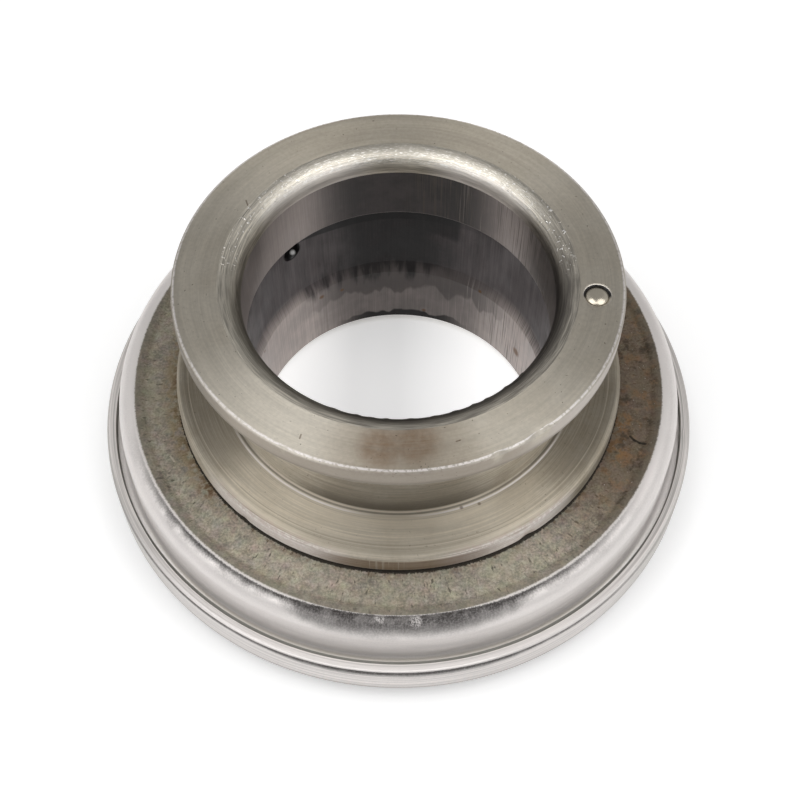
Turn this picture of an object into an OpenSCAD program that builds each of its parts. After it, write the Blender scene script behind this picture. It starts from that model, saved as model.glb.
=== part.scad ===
// Clutch release bearing: a turned carrier that slides on a quill and is pushed by a fork,
// with an angular contact ball bearing in a pressed shell at its lower end.
// Millimetres. +Z runs up the bore axis, and z = 0 is the contact face that meets the clutch fingers.

/* [Quill bore] */
// Diameter of the bore that slides on the quill
bore_d = 34.92; // [28:0.02:42]
// Radius turned on the bore's upper mouth
entry_r = 2.4; // [1:0.1:3]
// Chamfer on the bore's lower mouth
exit_chamfer = 0.5; // [0.2:0.1:1]
// Length of the plain land below the grease recess
lower_land = 9.8; // [6:0.05:12]
// Length of the grease recess
recess_w = 11.6; // [6:0.1:13]
// Radial depth of the grease recess
recess_depth = 0.5; // [0.2:0.1:1]
// Length of the taper that runs the recess out at its lower end
recess_taper = 1.6; // [0.4:0.1:3]
// Diameter of the oil hole from the fork groove to the recess
oil_hole_d = 2.4; // [1:0.1:3]
// Azimuth of the oil hole, from +X
oil_hole_azimuth = 136; // [0:1:359]
// Distance of the oil hole's axis below the top of the recess
oil_hole_drop = 1.55; // [1.5:0.1:3]

/* [Carrier] */
// Wall of the neck around the bore
neck_wall = 3.24; // [2.4:0.02:5]
// Depth of the fork groove, from the flange's rim to the neck
groove_depth = 4.2; // [3.5:0.1:6]
// Width of the fork groove
groove_w = 13.2; // [8:0.1:20]
// Thickness of the upper flange
flange_t = 2.7; // [2:0.1:5]
// Broken edge on the flange's rim
edge_break = 0.3; // [0.1:0.05:0.6]
// Fillet where the neck meets the flange and the shoulder
neck_fillet = 0.6; // [0.2:0.1:1.5]
// Rise of the lower shoulder over the neck
shoulder_rise = 5.8; // [5:0.1:8]
// Thickness of the lower shoulder
shoulder_t = 2.9; // [2:0.1:5]
// Round on the shoulder's upper edge
shoulder_round = 1.1; // [0.3:0.1:1.5]
// Wall of the spigot that carries the inner race
spigot_wall = 3.14; // [2.4:0.02:5]
// Rise of the seat that the inner race butts against
seat_rise = 1.7; // [1:0.1:2]
// Height of the spigot's end over the contact face
spigot_lift = 0.9; // [0.6:0.1:2]

/* [Flange plug] */
// Diameter of the plug pressed into the flange
plug_d = 2.54; // [1.6:0.02:3.4]
// Distance of the plug's axis outside the neck
plug_offset = 1.05; // [0.5:0.05:1.8]
// Azimuth of the plug, from +X
plug_azimuth = -7; // [-180:1:180]
// Thickness of flange left under the plug's blind hole
plug_floor = 0.7; // [0.4:0.1:1.2]
// Lead-in chamfer of the plug's hole
plug_lead_in = 0.25; // [0.1:0.05:0.4]
// Height of the plug's dome over the flange
plug_proud = 0.12; // [0.05:0.01:0.4]

/* [Ball set] */
// Ball diameter
ball_d = 6.35; // [5:0.05:7.2]
// Number of balls
ball_count = 18; // [12:1:20]
// Contact angle between the load line and the radial plane
contact_angle = 45; // [40:1:50]
// Raceway radius over the ball's radius
race_clearance = 0.12; // [0.06:0.01:0.2]
// Slant width of the conical cage
cage_w = 8.4; // [7.8:0.1:8.8]
// Thickness of the cage strip
cage_t = 1.2; // [0.8:0.1:1.4]
// Pocket radius over the ball's radius
pocket_clearance = 0.2; // [0.1:0.05:0.4]

/* [Races] */
// Thickness from the contact face to the bottom of the outer raceway
race_floor = 2.9; // [2.6:0.1:5]
// Wall of the inner race at the raceway's root
inner_race_wall = 2.6; // [2.2:0.1:4]
// Wall of the inner race at its lower land
inner_land_wall = 2.1; // [1.6:0.1:2.3]
// Cover of the inner race over the raceway's top
inner_cover = 1.5; // [1:0.1:3]
// How far the inner race's shoulder stops short of the ball circle
inner_shoulder_back = 0.5; // [0.2:0.1:1.2]
// How far the outer raceway's lip stands inside the ball circle
outer_lip_back = 1.3; // [0.6:0.1:1.6]
// Drop of the thrust race's floor below the raceway
floor_drop = 0.5; // [0.3:0.1:0.8]
// Gap between the thrust race's floor and the inner race
floor_gap = 0.4; // [0.3:0.1:0.8]
// Relief of the thrust race's wall outside the raceway
wall_relief = 0.7; // [0.5:0.1:1.2]
// Wall of the thrust race outside the relief
outer_wall = 2.1; // [1.2:0.1:3]
// Gap between the thrust race's wall and the shell's roof
wall_gap = 1.3; // [0.8:0.1:2]
// Round from the contact face to the thrust race's wall
face_round = 2.6; // [1:0.1:3.2]
// Thickness of the thrust race's seam flange
seam_t = 1.9; // [1.2:0.1:2.6]

/* [Face seal] */
// Radial width of the seal ring
seal_w = 2.05; // [1.5:0.05:2.4]
// Thickness of the seal ring
seal_t = 1.5; // [1:0.1:1.8]
// Running clearance between the seal and the spigot
seal_clearance = 0.35; // [0.2:0.05:0.5]
// How far the seal lies under the thrust race's floor
seal_sink = 0.1; // [0.05:0.05:0.3]
// Width of the ledge that the seal rests on
seal_ledge_w = 0.7; // [0.4:0.1:1]

/* [Shell] */
// Sheet thickness of the pressed shell
sheet_t = 1.2; // [0.8:0.1:1.6]
// Clearance between the shell's lip and the carrier's seat
lip_clearance = 0.4; // [0.3:0.05:0.8]
// Gap between the shell's roof and the inner race
roof_gap = 0.4; // [0.3:0.05:0.8]
// Running gap between the shell's roof and the carrier's shoulder
running_gap = 0.35; // [0.3:0.05:0.8]
// Clearance between the shell and the thrust race's wall
shell_fit = 0.1; // [0.05:0.05:0.3]
// Outside radius of the bend over the bead, from roof to wall
bend_r = 2; // [1.7:0.05:3]
// Rise of the bead at the bend over the flat of the roof
bead_rise = 0.5; // [0.2:0.05:0.6]
// Fillet between the roof and the bead
bead_fillet = 0.8; // [0.4:0.1:1.2]
// Outside radius of the fillet from wall to seam
foot_r = 0.9; // [0.5:0.1:1.2]
// Flat width of the seam outside the fillet
seam_w = 0.65; // [0.6:0.05:1.5]

/* [Clinch ring] */
// Sheet thickness of the ring rolled round the seam
clinch_t = 0.7; // [0.5:0.05:1]
// Height of the ring's underside over the contact face
rim_lift = 2.6; // [2:0.05:4]
// Width of the ring's upper lip
upper_lip_w = 0.5; // [0.3:0.05:0.6]
// Width of the ring's lower lip
lower_lip_w = 1.5; // [0.8:0.1:2]
// Round on the ring's outer corners
rim_round = 0.5; // [0.3:0.05:0.8]

/* [Hidden] */
$fn = 96;
// Overlap that makes cuts pass cleanly through a face
eps = 0.1;

// Radii from the bore outwards
bore_r = bore_d / 2;
recess_r = bore_r + recess_depth;
neck_r = bore_r + neck_wall;
flange_r = neck_r + groove_depth;
shoulder_r = neck_r + shoulder_rise;
spigot_r = bore_r + spigot_wall;
seat_r = spigot_r + seat_rise;
ball_r = ball_d / 2;
groove_r = ball_r + race_clearance;
pitch_r = spigot_r + inner_race_wall + groove_r;
inner_land_r = spigot_r + inner_land_wall;
inner_shoulder_r = pitch_r - inner_shoulder_back;
outer_lip_r = pitch_r - outer_lip_back;
relief_r = pitch_r + groove_r + wall_relief;
race_wall_r = relief_r + outer_wall;
seal_in_r = spigot_r + seal_clearance;
seal_out_r = seal_in_r + seal_w;
face_in_r = seal_out_r - seal_ledge_w;
shell_hole_r = seat_r + lip_clearance;
shell_in_r = race_wall_r + shell_fit;
shell_out_r = shell_in_r + sheet_t;
seam_r = shell_out_r + foot_r + seam_w;
rim_r = seam_r + clinch_t;
bead_r = shell_out_r - bend_r;
plug_circle_r = neck_r + plug_offset;

// Heights from the contact face upwards
ball_z = race_floor + groove_r;
floor_z = race_floor - floor_drop;
seal_z = floor_z - seal_sink - seal_t;
inner_race_z = floor_z + floor_gap;
seam_z = rim_lift + clinch_t;
shell_seam_z = seam_z + seam_t;
rim_lip_z = shell_seam_z + sheet_t;
seat_z = ball_z + groove_r + inner_cover;
roof_z = seat_z + roof_gap;
shell_top_z = roof_z + sheet_t;
race_wall_z = roof_z - wall_gap;
bead_z = shell_top_z + bead_rise - bend_r;
shoulder_z = shell_top_z + running_gap;
groove_z = shoulder_z + shoulder_t;
flange_z = groove_z + groove_w;
top_z = flange_z + flange_t;
recess_z = spigot_lift + lower_land;
recess_top_z = recess_z + recess_w;
oil_hole_z = recess_top_z - oil_hole_drop;
plug_z = flange_z + plug_floor;

turned_steel = [0.47, 0.45, 0.40];
pressed_steel = [0.55, 0.51, 0.46];
bright_steel = [0.74, 0.72, 0.71];
race_steel = [0.62, 0.62, 0.63];
ball_steel = [0.80, 0.80, 0.81];
cage_steel = [0.50, 0.47, 0.40];
seal_rubber = [0.07, 0.07, 0.07];

function ball_name(i) = str("ball_", i < 10 ? "0" : "", i);
function ball_azimuth(i) = (i - 1) * 360 / ball_count;

// The spandrel between a square corner at p and an arc of radius r, opening towards [dx, dy].
// Cut from a convex corner it is a round, added in a concave corner it is a fillet.
module spandrel(p, r, dx, dy) {
    translate(p) mirror([dx < 0 ? 1 : 0, 0]) mirror([0, dy < 0 ? 1 : 0])
        difference() {
            translate([-eps, -eps]) square(r + eps);
            translate([r, r]) circle(r);
        }
}

// The triangle that breaks a convex corner at p, with its material towards [dx, dy]
module chamfer(p, c, dx, dy) {
    translate(p) mirror([dx < 0 ? 1 : 0, 0]) mirror([0, dy < 0 ? 1 : 0])
        polygon([[-eps, -eps], [c + eps, -eps], [-eps, c + eps]]);
}

// The circle of the raceways and cage pockets in section
module ball_circle(r) {
    translate([pitch_r, ball_z]) circle(r);
}

module carrier_section() {
    difference() {
        union() {
            polygon([
                [bore_r, spigot_lift], [spigot_r, spigot_lift], [spigot_r, seat_z], [seat_r, seat_z],
                [seat_r, shoulder_z], [shoulder_r, shoulder_z], [shoulder_r, groove_z],
                [neck_r, groove_z], [neck_r, flange_z], [flange_r, flange_z],
                [flange_r, top_z], [bore_r, top_z]
            ]);
            spandrel([neck_r, groove_z], neck_fillet, 1, 1);
            spandrel([neck_r, flange_z], neck_fillet, 1, -1);
        }
        spandrel([bore_r, top_z], entry_r, 1, -1);
        spandrel([shoulder_r, groove_z], shoulder_round, -1, -1);
        chamfer([bore_r, spigot_lift], exit_chamfer, 1, 1);
        chamfer([spigot_r, spigot_lift], exit_chamfer, -1, 1);
        chamfer([shoulder_r, shoulder_z], edge_break, -1, 1);
        chamfer([flange_r, flange_z], edge_break, -1, 1);
        chamfer([flange_r, top_z], edge_break, -1, -1);
        polygon([
            [bore_r - eps, recess_z], [bore_r, recess_z], [recess_r, recess_z + recess_taper],
            [recess_r, recess_top_z], [bore_r - eps, recess_top_z]
        ]);
    }
}

module oil_hole() {
    rotate([0, 0, oil_hole_azimuth]) translate([bore_r - oil_hole_d, 0, oil_hole_z])
        rotate([0, 90, 0]) cylinder(d = oil_hole_d, h = neck_wall + 2 * oil_hole_d);
}

module at_plug(z) {
    rotate([0, 0, plug_azimuth]) translate([plug_circle_r, 0, z]) children();
}

module plug_hole() {
    at_plug(plug_z) cylinder(d = plug_d, h = top_z - plug_z + eps);
    at_plug(top_z - plug_lead_in)
        cylinder(d1 = plug_d, d2 = plug_d + 2 * (plug_lead_in + eps), h = plug_lead_in + eps);
}

module carrier() {
    color(turned_steel) difference() {
        rotate_extrude() carrier_section();
        oil_hole();
        plug_hole();
    }
}

// A pin whose domed head starts at the foot of the hole's lead-in
module flange_plug() {
    r = plug_d / 2;
    head = plug_lead_in + plug_proud;
    dome_r = (r * r + head * head) / (2 * head);
    length = top_z + plug_proud - plug_z;
    color(ball_steel) at_plug(plug_z) rotate_extrude() intersection() {
        square([r, length]);
        translate([0, length - dome_r]) circle(dome_r, $fn = 4 * $fn);
    }
}

module inner_race() {
    color(race_steel) rotate_extrude() difference() {
        polygon([
            [spigot_r, inner_race_z], [inner_land_r, inner_race_z], [inner_land_r, ball_z],
            [inner_shoulder_r, ball_z], [inner_shoulder_r, seat_z], [spigot_r, seat_z]
        ]);
        ball_circle(groove_r);
        chamfer([inner_shoulder_r, seat_z], edge_break, -1, -1);
        chamfer([inner_land_r, inner_race_z], edge_break, -1, 1);
    }
}

module at_ball(i) {
    rotate([0, 0, ball_azimuth(i)]) translate([pitch_r, 0, ball_z]) children();
}

module ball(i) {
    color(ball_steel) at_ball(i) sphere(ball_r);
}

// A conical strip square to the load line, with a round pocket for each ball
module ball_cage() {
    color(cage_steel) difference() {
        rotate_extrude() translate([pitch_r, ball_z]) rotate(90 - contact_angle)
            square([cage_w, cage_t], center = true);
        for (i = [1:ball_count]) at_ball(i) sphere(ball_r + pocket_clearance);
    }
}

module thrust_race() {
    color(race_steel) rotate_extrude() difference() {
        polygon([
            [face_in_r, 0], [race_wall_r, 0], [race_wall_r, seam_z], [seam_r, seam_z],
            [seam_r, shell_seam_z], [race_wall_r, shell_seam_z], [race_wall_r, race_wall_z],
            [relief_r, race_wall_z], [relief_r, ball_z], [outer_lip_r, ball_z],
            [outer_lip_r, floor_z], [seal_out_r, floor_z], [seal_out_r, seal_z], [face_in_r, seal_z]
        ]);
        ball_circle(groove_r);
        spandrel([race_wall_r, 0], face_round, -1, 1);
        chamfer([face_in_r, 0], edge_break, 1, 1);
        chamfer([relief_r, race_wall_z], edge_break, 1, -1);
    }
}

module face_seal() {
    color(seal_rubber) translate([0, 0, seal_z]) rotate_extrude() difference() {
        translate([seal_in_r, 0]) square([seal_w, seal_t]);
        chamfer([seal_in_r, 0], seal_t / 3, 1, 1);
        chamfer([seal_in_r, seal_t], seal_t / 3, 1, -1);
    }
}

// The wedge of a corner between the flat of the roof, at height z, and the bead's circle
module bead_corner(z) {
    fillet_z = shell_top_z + bead_fillet;
    reach_r = sqrt(pow(bend_r + bead_fillet, 2) - pow(fillet_z - bead_z, 2));
    difference() {
        polygon([[bead_r - reach_r, z], [bead_r, bead_z], [bead_r - reach_r, fillet_z]]);
        translate([bead_r - reach_r, fillet_z]) circle(fillet_z - z);
    }
}

// Roof with a raised bead, wall and seam flange of one sheet, with bends of constant thickness
module bearing_shell() {
    color(pressed_steel) rotate_extrude() difference() {
        union() {
            polygon([
                [shell_hole_r, roof_z], [bead_r, roof_z], [bead_r, shell_top_z], [shell_hole_r, shell_top_z]
            ]);
            intersection() {
                translate([bead_r, bead_z]) circle(bend_r);
                polygon([
                    [bead_r - bend_r, roof_z], [bead_r, roof_z], [bead_r, bead_z], [shell_out_r, bead_z],
                    [shell_out_r, bead_z + bend_r], [bead_r - bend_r, bead_z + bend_r]
                ]);
            }
            bead_corner(shell_top_z);
            polygon([
                [shell_in_r, bead_z], [shell_in_r, shell_seam_z], [seam_r, shell_seam_z],
                [seam_r, rim_lip_z], [shell_out_r, rim_lip_z], [shell_out_r, bead_z]
            ]);
            spandrel([shell_out_r, rim_lip_z], foot_r, 1, 1);
        }
        translate([bead_r, bead_z]) circle(bend_r - sheet_t);
        bead_corner(roof_z);
        spandrel([shell_in_r, shell_seam_z], foot_r + sheet_t, 1, 1);
        chamfer([shell_hole_r, shell_top_z], edge_break, 1, -1);
    }
}

// A channel rolled over the edges of the shell and the thrust race
module clinch_ring() {
    upper_r = seam_r - upper_lip_w;
    lower_r = seam_r - lower_lip_w;
    rim_top_z = rim_lip_z + clinch_t;
    color(bright_steel) rotate_extrude() difference() {
        polygon([
            [lower_r, rim_lift], [rim_r, rim_lift], [rim_r, rim_top_z], [upper_r, rim_top_z],
            [upper_r, rim_lip_z], [seam_r, rim_lip_z], [seam_r, seam_z], [lower_r, seam_z]
        ]);
        spandrel([rim_r, rim_top_z], rim_round, -1, -1);
        spandrel([rim_r, rim_lift], rim_round, -1, 1);
    }
}

carrier();
flange_plug();
inner_race();
ball_cage();
for (i = [1:ball_count]) ball(i);
thrust_race();
face_seal();
bearing_shell();
clinch_ring();
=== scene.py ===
"""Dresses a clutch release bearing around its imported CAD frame.

The bearing lies on its contact face, with its axis on Z. Nearly every piece of it was made on a lathe or a
press, so each is an outline in radius and height, carried round the axis. The outlines are in millimetres.
"""

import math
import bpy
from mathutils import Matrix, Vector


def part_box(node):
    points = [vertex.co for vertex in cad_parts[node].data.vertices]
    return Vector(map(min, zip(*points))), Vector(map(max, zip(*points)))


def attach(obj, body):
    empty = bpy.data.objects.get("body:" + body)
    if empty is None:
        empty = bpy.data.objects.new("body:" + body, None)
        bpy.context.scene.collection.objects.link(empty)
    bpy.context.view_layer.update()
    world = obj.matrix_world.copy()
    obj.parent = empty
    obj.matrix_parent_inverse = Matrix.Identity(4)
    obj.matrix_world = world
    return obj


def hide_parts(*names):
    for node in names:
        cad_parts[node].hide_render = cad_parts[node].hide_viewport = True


bl_info = {
    "name": "Clutch release bearing",
    "version": (1, 0, 0),
    "blender": (4, 5, 0),
    "location": "3D View > Sidebar > Bearing",
    "description": "Dresses a clutch release bearing in turned, pressed and rolled steel",
    "category": "Object",
}

from types import SimpleNamespace
from typing import NamedTuple

import bpy
import numpy as np
from bpy.props import FloatProperty, FloatVectorProperty, IntProperty, PointerProperty

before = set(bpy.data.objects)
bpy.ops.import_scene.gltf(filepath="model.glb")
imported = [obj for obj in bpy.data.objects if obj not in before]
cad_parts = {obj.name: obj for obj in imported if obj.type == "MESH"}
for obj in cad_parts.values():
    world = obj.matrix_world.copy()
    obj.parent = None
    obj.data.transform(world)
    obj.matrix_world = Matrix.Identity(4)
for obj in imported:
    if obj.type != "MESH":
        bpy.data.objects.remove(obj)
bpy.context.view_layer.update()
MM = 0.001
WHITE = (1.0, 1.0, 1.0, 1.0)

# Sizes in mm: the small round on an edge, the chamfer of a broken edge, the gap that keeps faces apart, and
# the difference below which two places are the same
SMALL = 0.12
EDGE = 0.3
GAP = 0.02
SAME = 0.001


def reach(node):
    """The node's outer radius, lowest and highest point, in mm."""
    low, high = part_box(node)
    return high[0] / MM, low[2] / MM, high[2] / MM


# Outer sizes that the frame gives
SHOULDER_R, SPIGOT_END_Z, TOP_Z = reach("carrier")
SEAM_R, SHELL_SEAM_Z, SHELL_CREST_Z = reach("bearing_shell")
RIM_R, RIM_Z, RIM_TOP_Z = reach("clinch_ring")
_, FACE_Z, RACE_WALL_Z = reach("thrust_race")
SEAL_R, SEAL_Z, SEAL_TOP_Z = reach("face_seal")
_, PLUG_Z, PLUG_TOP_Z = reach("flange_plug")
PLUG_LOW, PLUG_HIGH = (np.array(corner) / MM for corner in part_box("flange_plug"))
PLUG_MIDDLE = (PLUG_LOW + PLUG_HIGH) / 2


def length(name, description, size):
    """A length property whose default is given in mm."""
    return FloatProperty(name=name, description=description, default=size * MM, unit="LENGTH", precision=5)


def colour(name, description, rgb):
    """A colour property, in linear light."""
    return FloatVectorProperty(
        name=name, description=description, default=rgb, size=3, min=0.0, max=1.0, subtype="COLOR"
    )


def lengths(group):
    """The lengths in a group of settings, under their own names and in mm."""
    kinds = group.bl_rna.properties
    names = [name for name in type(group).__annotations__ if kinds[name].unit == "LENGTH"]
    return SimpleNamespace(**{name: getattr(group, name) / MM for name in names})


class CarrierSizes(bpy.types.PropertyGroup):
    """Sizes of the turned carrier that the frame's boxes don't give."""

    bore_r: length("Bore radius", "Radius of the plain bore that slides on the quill", 17.46)
    entry_r: length("Mouth round", "Round at the upper mouth of the bore", 2.4)
    exit_chamfer: length("Spigot chamfer", "Chamfer at both edges of the spigot's end", 0.5)
    recess_depth: length("Recess depth", "Depth of the grease recess in the bore", 0.5)
    recess_z: length("Recess foot", "Height where the grease recess starts", 10.7)
    recess_top_z: length("Recess top", "Height where the grease recess ends", 22.3)
    recess_taper: length("Recess taper", "Height of the sloping foot of the recess", 1.6)
    oil_hole_r: length("Oil hole radius", "Radius of the hole from the groove to the recess", 1.2)
    oil_hole_z: length("Oil hole height", "Height of the oil hole's axis", 20.75)
    oil_hole_azimuth: FloatProperty(
        name="Oil hole azimuth",
        description="Direction of the oil hole, counter-clockwise from +X",
        default=math.radians(136.0),
        subtype="ANGLE",
    )
    spigot_r: length("Spigot radius", "Radius of the spigot that holds the inner race", 20.6)
    seat_r: length("Seat radius", "Radius of the step above the inner race", 22.3)
    seat_z: length("Seat height", "Height of the face that the inner race stops against", 10.99)
    shoulder_z: length("Shoulder foot", "Height of the shoulder's underside", 12.94)
    groove_z: length("Groove floor height", "Height of the shoulder's upper face", 15.84)
    neck_r: length("Neck radius", "Radius at the bottom of the fork groove", 20.7)
    flange_z: length("Flange foot", "Height of the flange's underside", 29.04)
    flange_r: length("Flange radius", "Radius of the upper flange", 24.9)
    edge_break: length("Edge break", "Chamfer that breaks the turned edges", 0.3)
    neck_fillet: length("Neck fillet", "Fillet at both ends of the neck", 0.6)
    shoulder_round: length("Shoulder round", "Round at the shoulder's upper edge", 1.1)
    plug_lead_in: length("Plug lead-in", "Countersink at the mouth of the plug's hole", 0.25)


class ShellSizes(bpy.types.PropertyGroup):
    """Sizes of the pressed shell, the rolled rim and the thrust race."""

    sheet_t: length("Sheet thickness", "Thickness of the pressed sheet", 1.2)
    shell_hole_r: length("Roof hole radius", "Radius of the hole in the shell's roof", 22.7)
    shell_out_r: length("Shell radius", "Outer radius of the shell's wall", 33.89)
    bend_r: length("Bend radius", "Outer radius of the bend over the bead", 2.0)
    bead_rise: length("Bead rise", "Rise of the bead at the bend over the roof", 0.5)
    bead_fillet: length("Bead fillet", "Fillet between the roof and the bead", 0.8)
    foot_r: length("Foot radius", "Radius of the fillet between wall and seam flange", 0.9)
    clinch_t: length("Rim thickness", "Thickness of the rolled rim", 0.7)
    upper_lip_w: length("Upper lip", "Width of the rim's lip over the shell", 0.5)
    lower_lip_w: length("Lower lip", "Width of the rim's lip under the race", 1.5)
    rim_round: length("Rim round", "Round at the rim's outer edges", 0.5)
    race_wall_r: length("Race radius", "Outer radius of the thrust race", 32.59)
    relief_r: length("Race relief", "Inner radius of the race's upstanding wall", 30.49)
    pitch_r: length("Pitch radius", "Radius of the circle of ball centres", 26.495)
    ball_z: length("Ball height", "Height of the ball centres", 6.195)
    raceway_r: length("Raceway radius", "Radius of the raceway in section", 3.295)
    outer_lip_r: length("Race lip", "Inner radius of the raceway", 25.195)
    race_floor_z: length("Race floor", "Height of the race's inner floor", 2.4)
    face_in_r: length("Face hole radius", "Radius of the hole in the contact face", 22.3)
    face_round: length("Face round", "Round at the contact face's outer edge", 2.6)
    seal_in_r: length("Seal radius", "Inner radius of the face seal", 20.95)


class FinishColours(bpy.types.PropertyGroup):
    """Colours of the finishes."""

    turned: colour("Turned steel", "Flange, groove and shoulder", (0.520, 0.472, 0.390))
    flange: colour("Flange", "Paler turned steel of the upper flange", (0.560, 0.522, 0.455))
    # Also the colour of painted shade on the turned steel and the mouth
    tarnish: colour("Tarnish", "Olive film on the turned faces", (0.440, 0.388, 0.305))
    mouth: colour("Burnished mouth", "Round at the mouth of the bore", (0.68, 0.632, 0.545))
    land: colour("Bore lands", "Plain bore above and below the recess", (0.445, 0.393, 0.370))
    # Also the colour of painted shade in the bore and on the mouth
    grease: colour("Old grease", "Film in the recess of the bore", (0.0125, 0.0106, 0.0107))
    roof: colour("Shell roof", "Bare grain of the pressed roof", (0.58, 0.518, 0.418))
    scale: colour("Dark scale", "Dark grain of the pressed roof", (0.200, 0.182, 0.148))
    rust: colour("Rust", "Rust on the roof and in the bore", (0.230, 0.118, 0.050))
    # Also the colour of painted shade in corners and gaps
    dirt: colour("Dirt", "Dirt in corners and seams", (0.060, 0.050, 0.038))
    bright: colour("Bright steel", "Shell wall and rolled rim", (0.76, 0.722, 0.70))
    race: colour("Ground steel", "Thrust race and inner race", (0.50, 0.49, 0.48))
    ball: colour("Ball steel", "Balls and flange plug", (0.60, 0.585, 0.57))
    cage: colour("Cage steel", "Pressed ball cage", (0.33, 0.30, 0.24))
    rubber: colour("Seal rubber", "Face seal", (0.020, 0.020, 0.021))


class StageSettings(bpy.types.PropertyGroup):
    """Camera, floor and light."""

    lens: FloatProperty(name="Lens", description="Focal length on a 36 mm sensor", default=60.705, min=1.0)
    camera_back: length("Camera distance", "Distance of the camera in front of the axis", 92.23)
    camera_up: length("Camera height", "Height of the camera above the flange", 116.08)
    camera_pitch: FloatProperty(
        name="Camera pitch",
        description="Angle that the camera looks down",
        default=math.radians(56.78),
        subtype="ANGLE",
    )
    shift_x: FloatProperty(
        name="Camera shift", description="Sideways shift of the frame", default=0.002, subtype="FACTOR"
    )
    floor: colour("Floor", "Pale floor", (0.80, 0.80, 0.80))
    columns: IntProperty(
        name="Columns", description="Steps around the axis in each lathe surface", default=480, min=60
    )


class Corner(NamedTuple):
    """A corner of an outline, in mm: place, round, and the finish and longest step of the run after it.

    The round takes that finish too, unless it has one of its own.
    """

    r: float
    z: float
    round: float = 0.0
    finish: int = 0
    step: float = 2.5
    round_finish: int = -1


class Surface(NamedTuple):
    """A lathe surface in mm: points, quads, and what its materials read at each point or quad."""

    points: np.ndarray
    quads: np.ndarray
    run: np.ndarray
    edge: np.ndarray
    finish: np.ndarray
    rows: np.ndarray
    columns: int


# The widest step of a round, the largest round in mm that wears bright, and where rows hold that wear
ARC_STEP = math.radians(15.0)
SHARP_ROUND = 0.6
EDGE_HOLD = 0.08


def outline(corners):
    """A closed polyline through corners with their rounds.

    Each round is an arc tangent to both runs: it starts round / tan(half angle) from the corner, and its
    centre lies on the corner's bisector. A straight run is split into even steps, with a row close to each
    end that keeps the wear on the edge. Returns the points, the finish of the step after each, and 1 on small
    convex rounds, where an edge wears bright.
    """
    place = np.array([(c.r, c.z) for c in corners])
    back = np.roll(place, 1, axis=0) - place
    ahead = np.roll(place, -1, axis=0) - place
    back /= np.linalg.norm(back, axis=1)[:, None]
    ahead /= np.linalg.norm(ahead, axis=1)[:, None]
    half = np.arccos(np.clip((back * ahead).sum(axis=1), -1.0, 1.0)) / 2
    bulge = ahead[:, 0] * back[:, 1] - ahead[:, 1] * back[:, 0]
    arcs = []
    for corner, at, to_back, to_ahead, angle in zip(corners, place, back, ahead, half):
        if corner.round == 0.0:
            arcs.append(at[None, :])
            continue
        bisector = (to_back + to_ahead) / np.linalg.norm(to_back + to_ahead)
        centre = at + bisector * corner.round / math.sin(angle)
        first = at + to_back * corner.round / math.tan(angle) - centre
        last = at + to_ahead * corner.round / math.tan(angle) - centre
        start = math.atan2(first[1], first[0])
        turn = math.atan2(last[1], last[0]) - start
        turn = (turn + math.pi) % (2 * math.pi) - math.pi
        sweep = start + np.linspace(0.0, turn, max(4, math.ceil(abs(turn) / ARC_STEP) + 1))
        arcs.append(centre + corner.round * np.column_stack([np.cos(sweep), np.sin(sweep)]))
    points, finishes, edges = [], [], []
    for index, corner in enumerate(corners):
        arc, following = arcs[index], arcs[(index + 1) % len(arcs)]
        run = following[0] - arc[-1]
        span = np.linalg.norm(run)
        steps = max(1, math.ceil(span / corner.step))
        shares = np.arange(1, steps) / steps
        if span > 6 * EDGE_HOLD:
            shares = np.concatenate([[EDGE_HOLD / span], shares, [1 - EDGE_HOLD / span]])
        straight = arc[-1] + run * shares[:, None]
        round_finish = corner.finish if corner.round_finish < 0 else corner.round_finish
        points += [arc, straight]
        finishes += [np.full(len(arc) - 1, round_finish), np.full(len(straight) + 1, corner.finish)]
        worn = float(bulge[index] > 0.0 and 0.0 < corner.round <= SHARP_ROUND)
        edges += [np.full(len(arc), worn), np.zeros(len(straight))]
    return np.vstack(points), np.concatenate(finishes), np.concatenate(edges)


def arc_corners(middle, radius, first, last, steps, finish=0):
    """Corners on a circle about a middle: radius sin a out and radius cos a up from it, at even angles a."""
    angles = np.linspace(first, last, steps)
    r, z = middle
    return [Corner(r + radius * math.sin(a), z + radius * math.cos(a), 0.0, finish) for a in angles]


def turned_grid(rows, columns, middle=(0.0, 0.0)):
    """Points and quads of rows of radius and height, carried round an upright axis through a place.

    Point (row, column) is (r cos a, r sin a, z) from that place, at a = column / columns of a turn. The quads
    join each row to the next, and the last row to the first.
    """
    angle = np.arange(columns) * 2 * math.pi / columns
    points = np.stack(
        [
            middle[0] + rows[:, :1] * np.cos(angle),
            middle[1] + rows[:, :1] * np.sin(angle),
            np.repeat(rows[:, 1:], columns, axis=1),
        ],
        axis=-1,
    ).reshape(-1, 3)
    row, column = np.meshgrid(np.arange(len(rows)), np.arange(columns), indexing="ij")
    next_row, next_column = (row + 1) % len(rows), (column + 1) % columns
    corners = [
        row * columns + column,
        row * columns + next_column,
        next_row * columns + next_column,
        next_row * columns + column,
    ]
    return points, np.stack(corners, axis=-1).reshape(-1, 4)


def lathe(corners, columns):
    """The outline carried round Z, joined to itself both ways. The run is the length along the outline."""
    rows, finish, edge = outline(corners)
    points, quads = turned_grid(rows, columns)
    steps = np.linalg.norm(np.diff(rows, axis=0), axis=1)
    run = np.concatenate([[0.0], np.cumsum(steps)])
    run, edge, finish = (np.repeat(values, columns) for values in (run, edge, finish))
    return Surface(points, quads, run, edge, finish, rows, columns)


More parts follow.
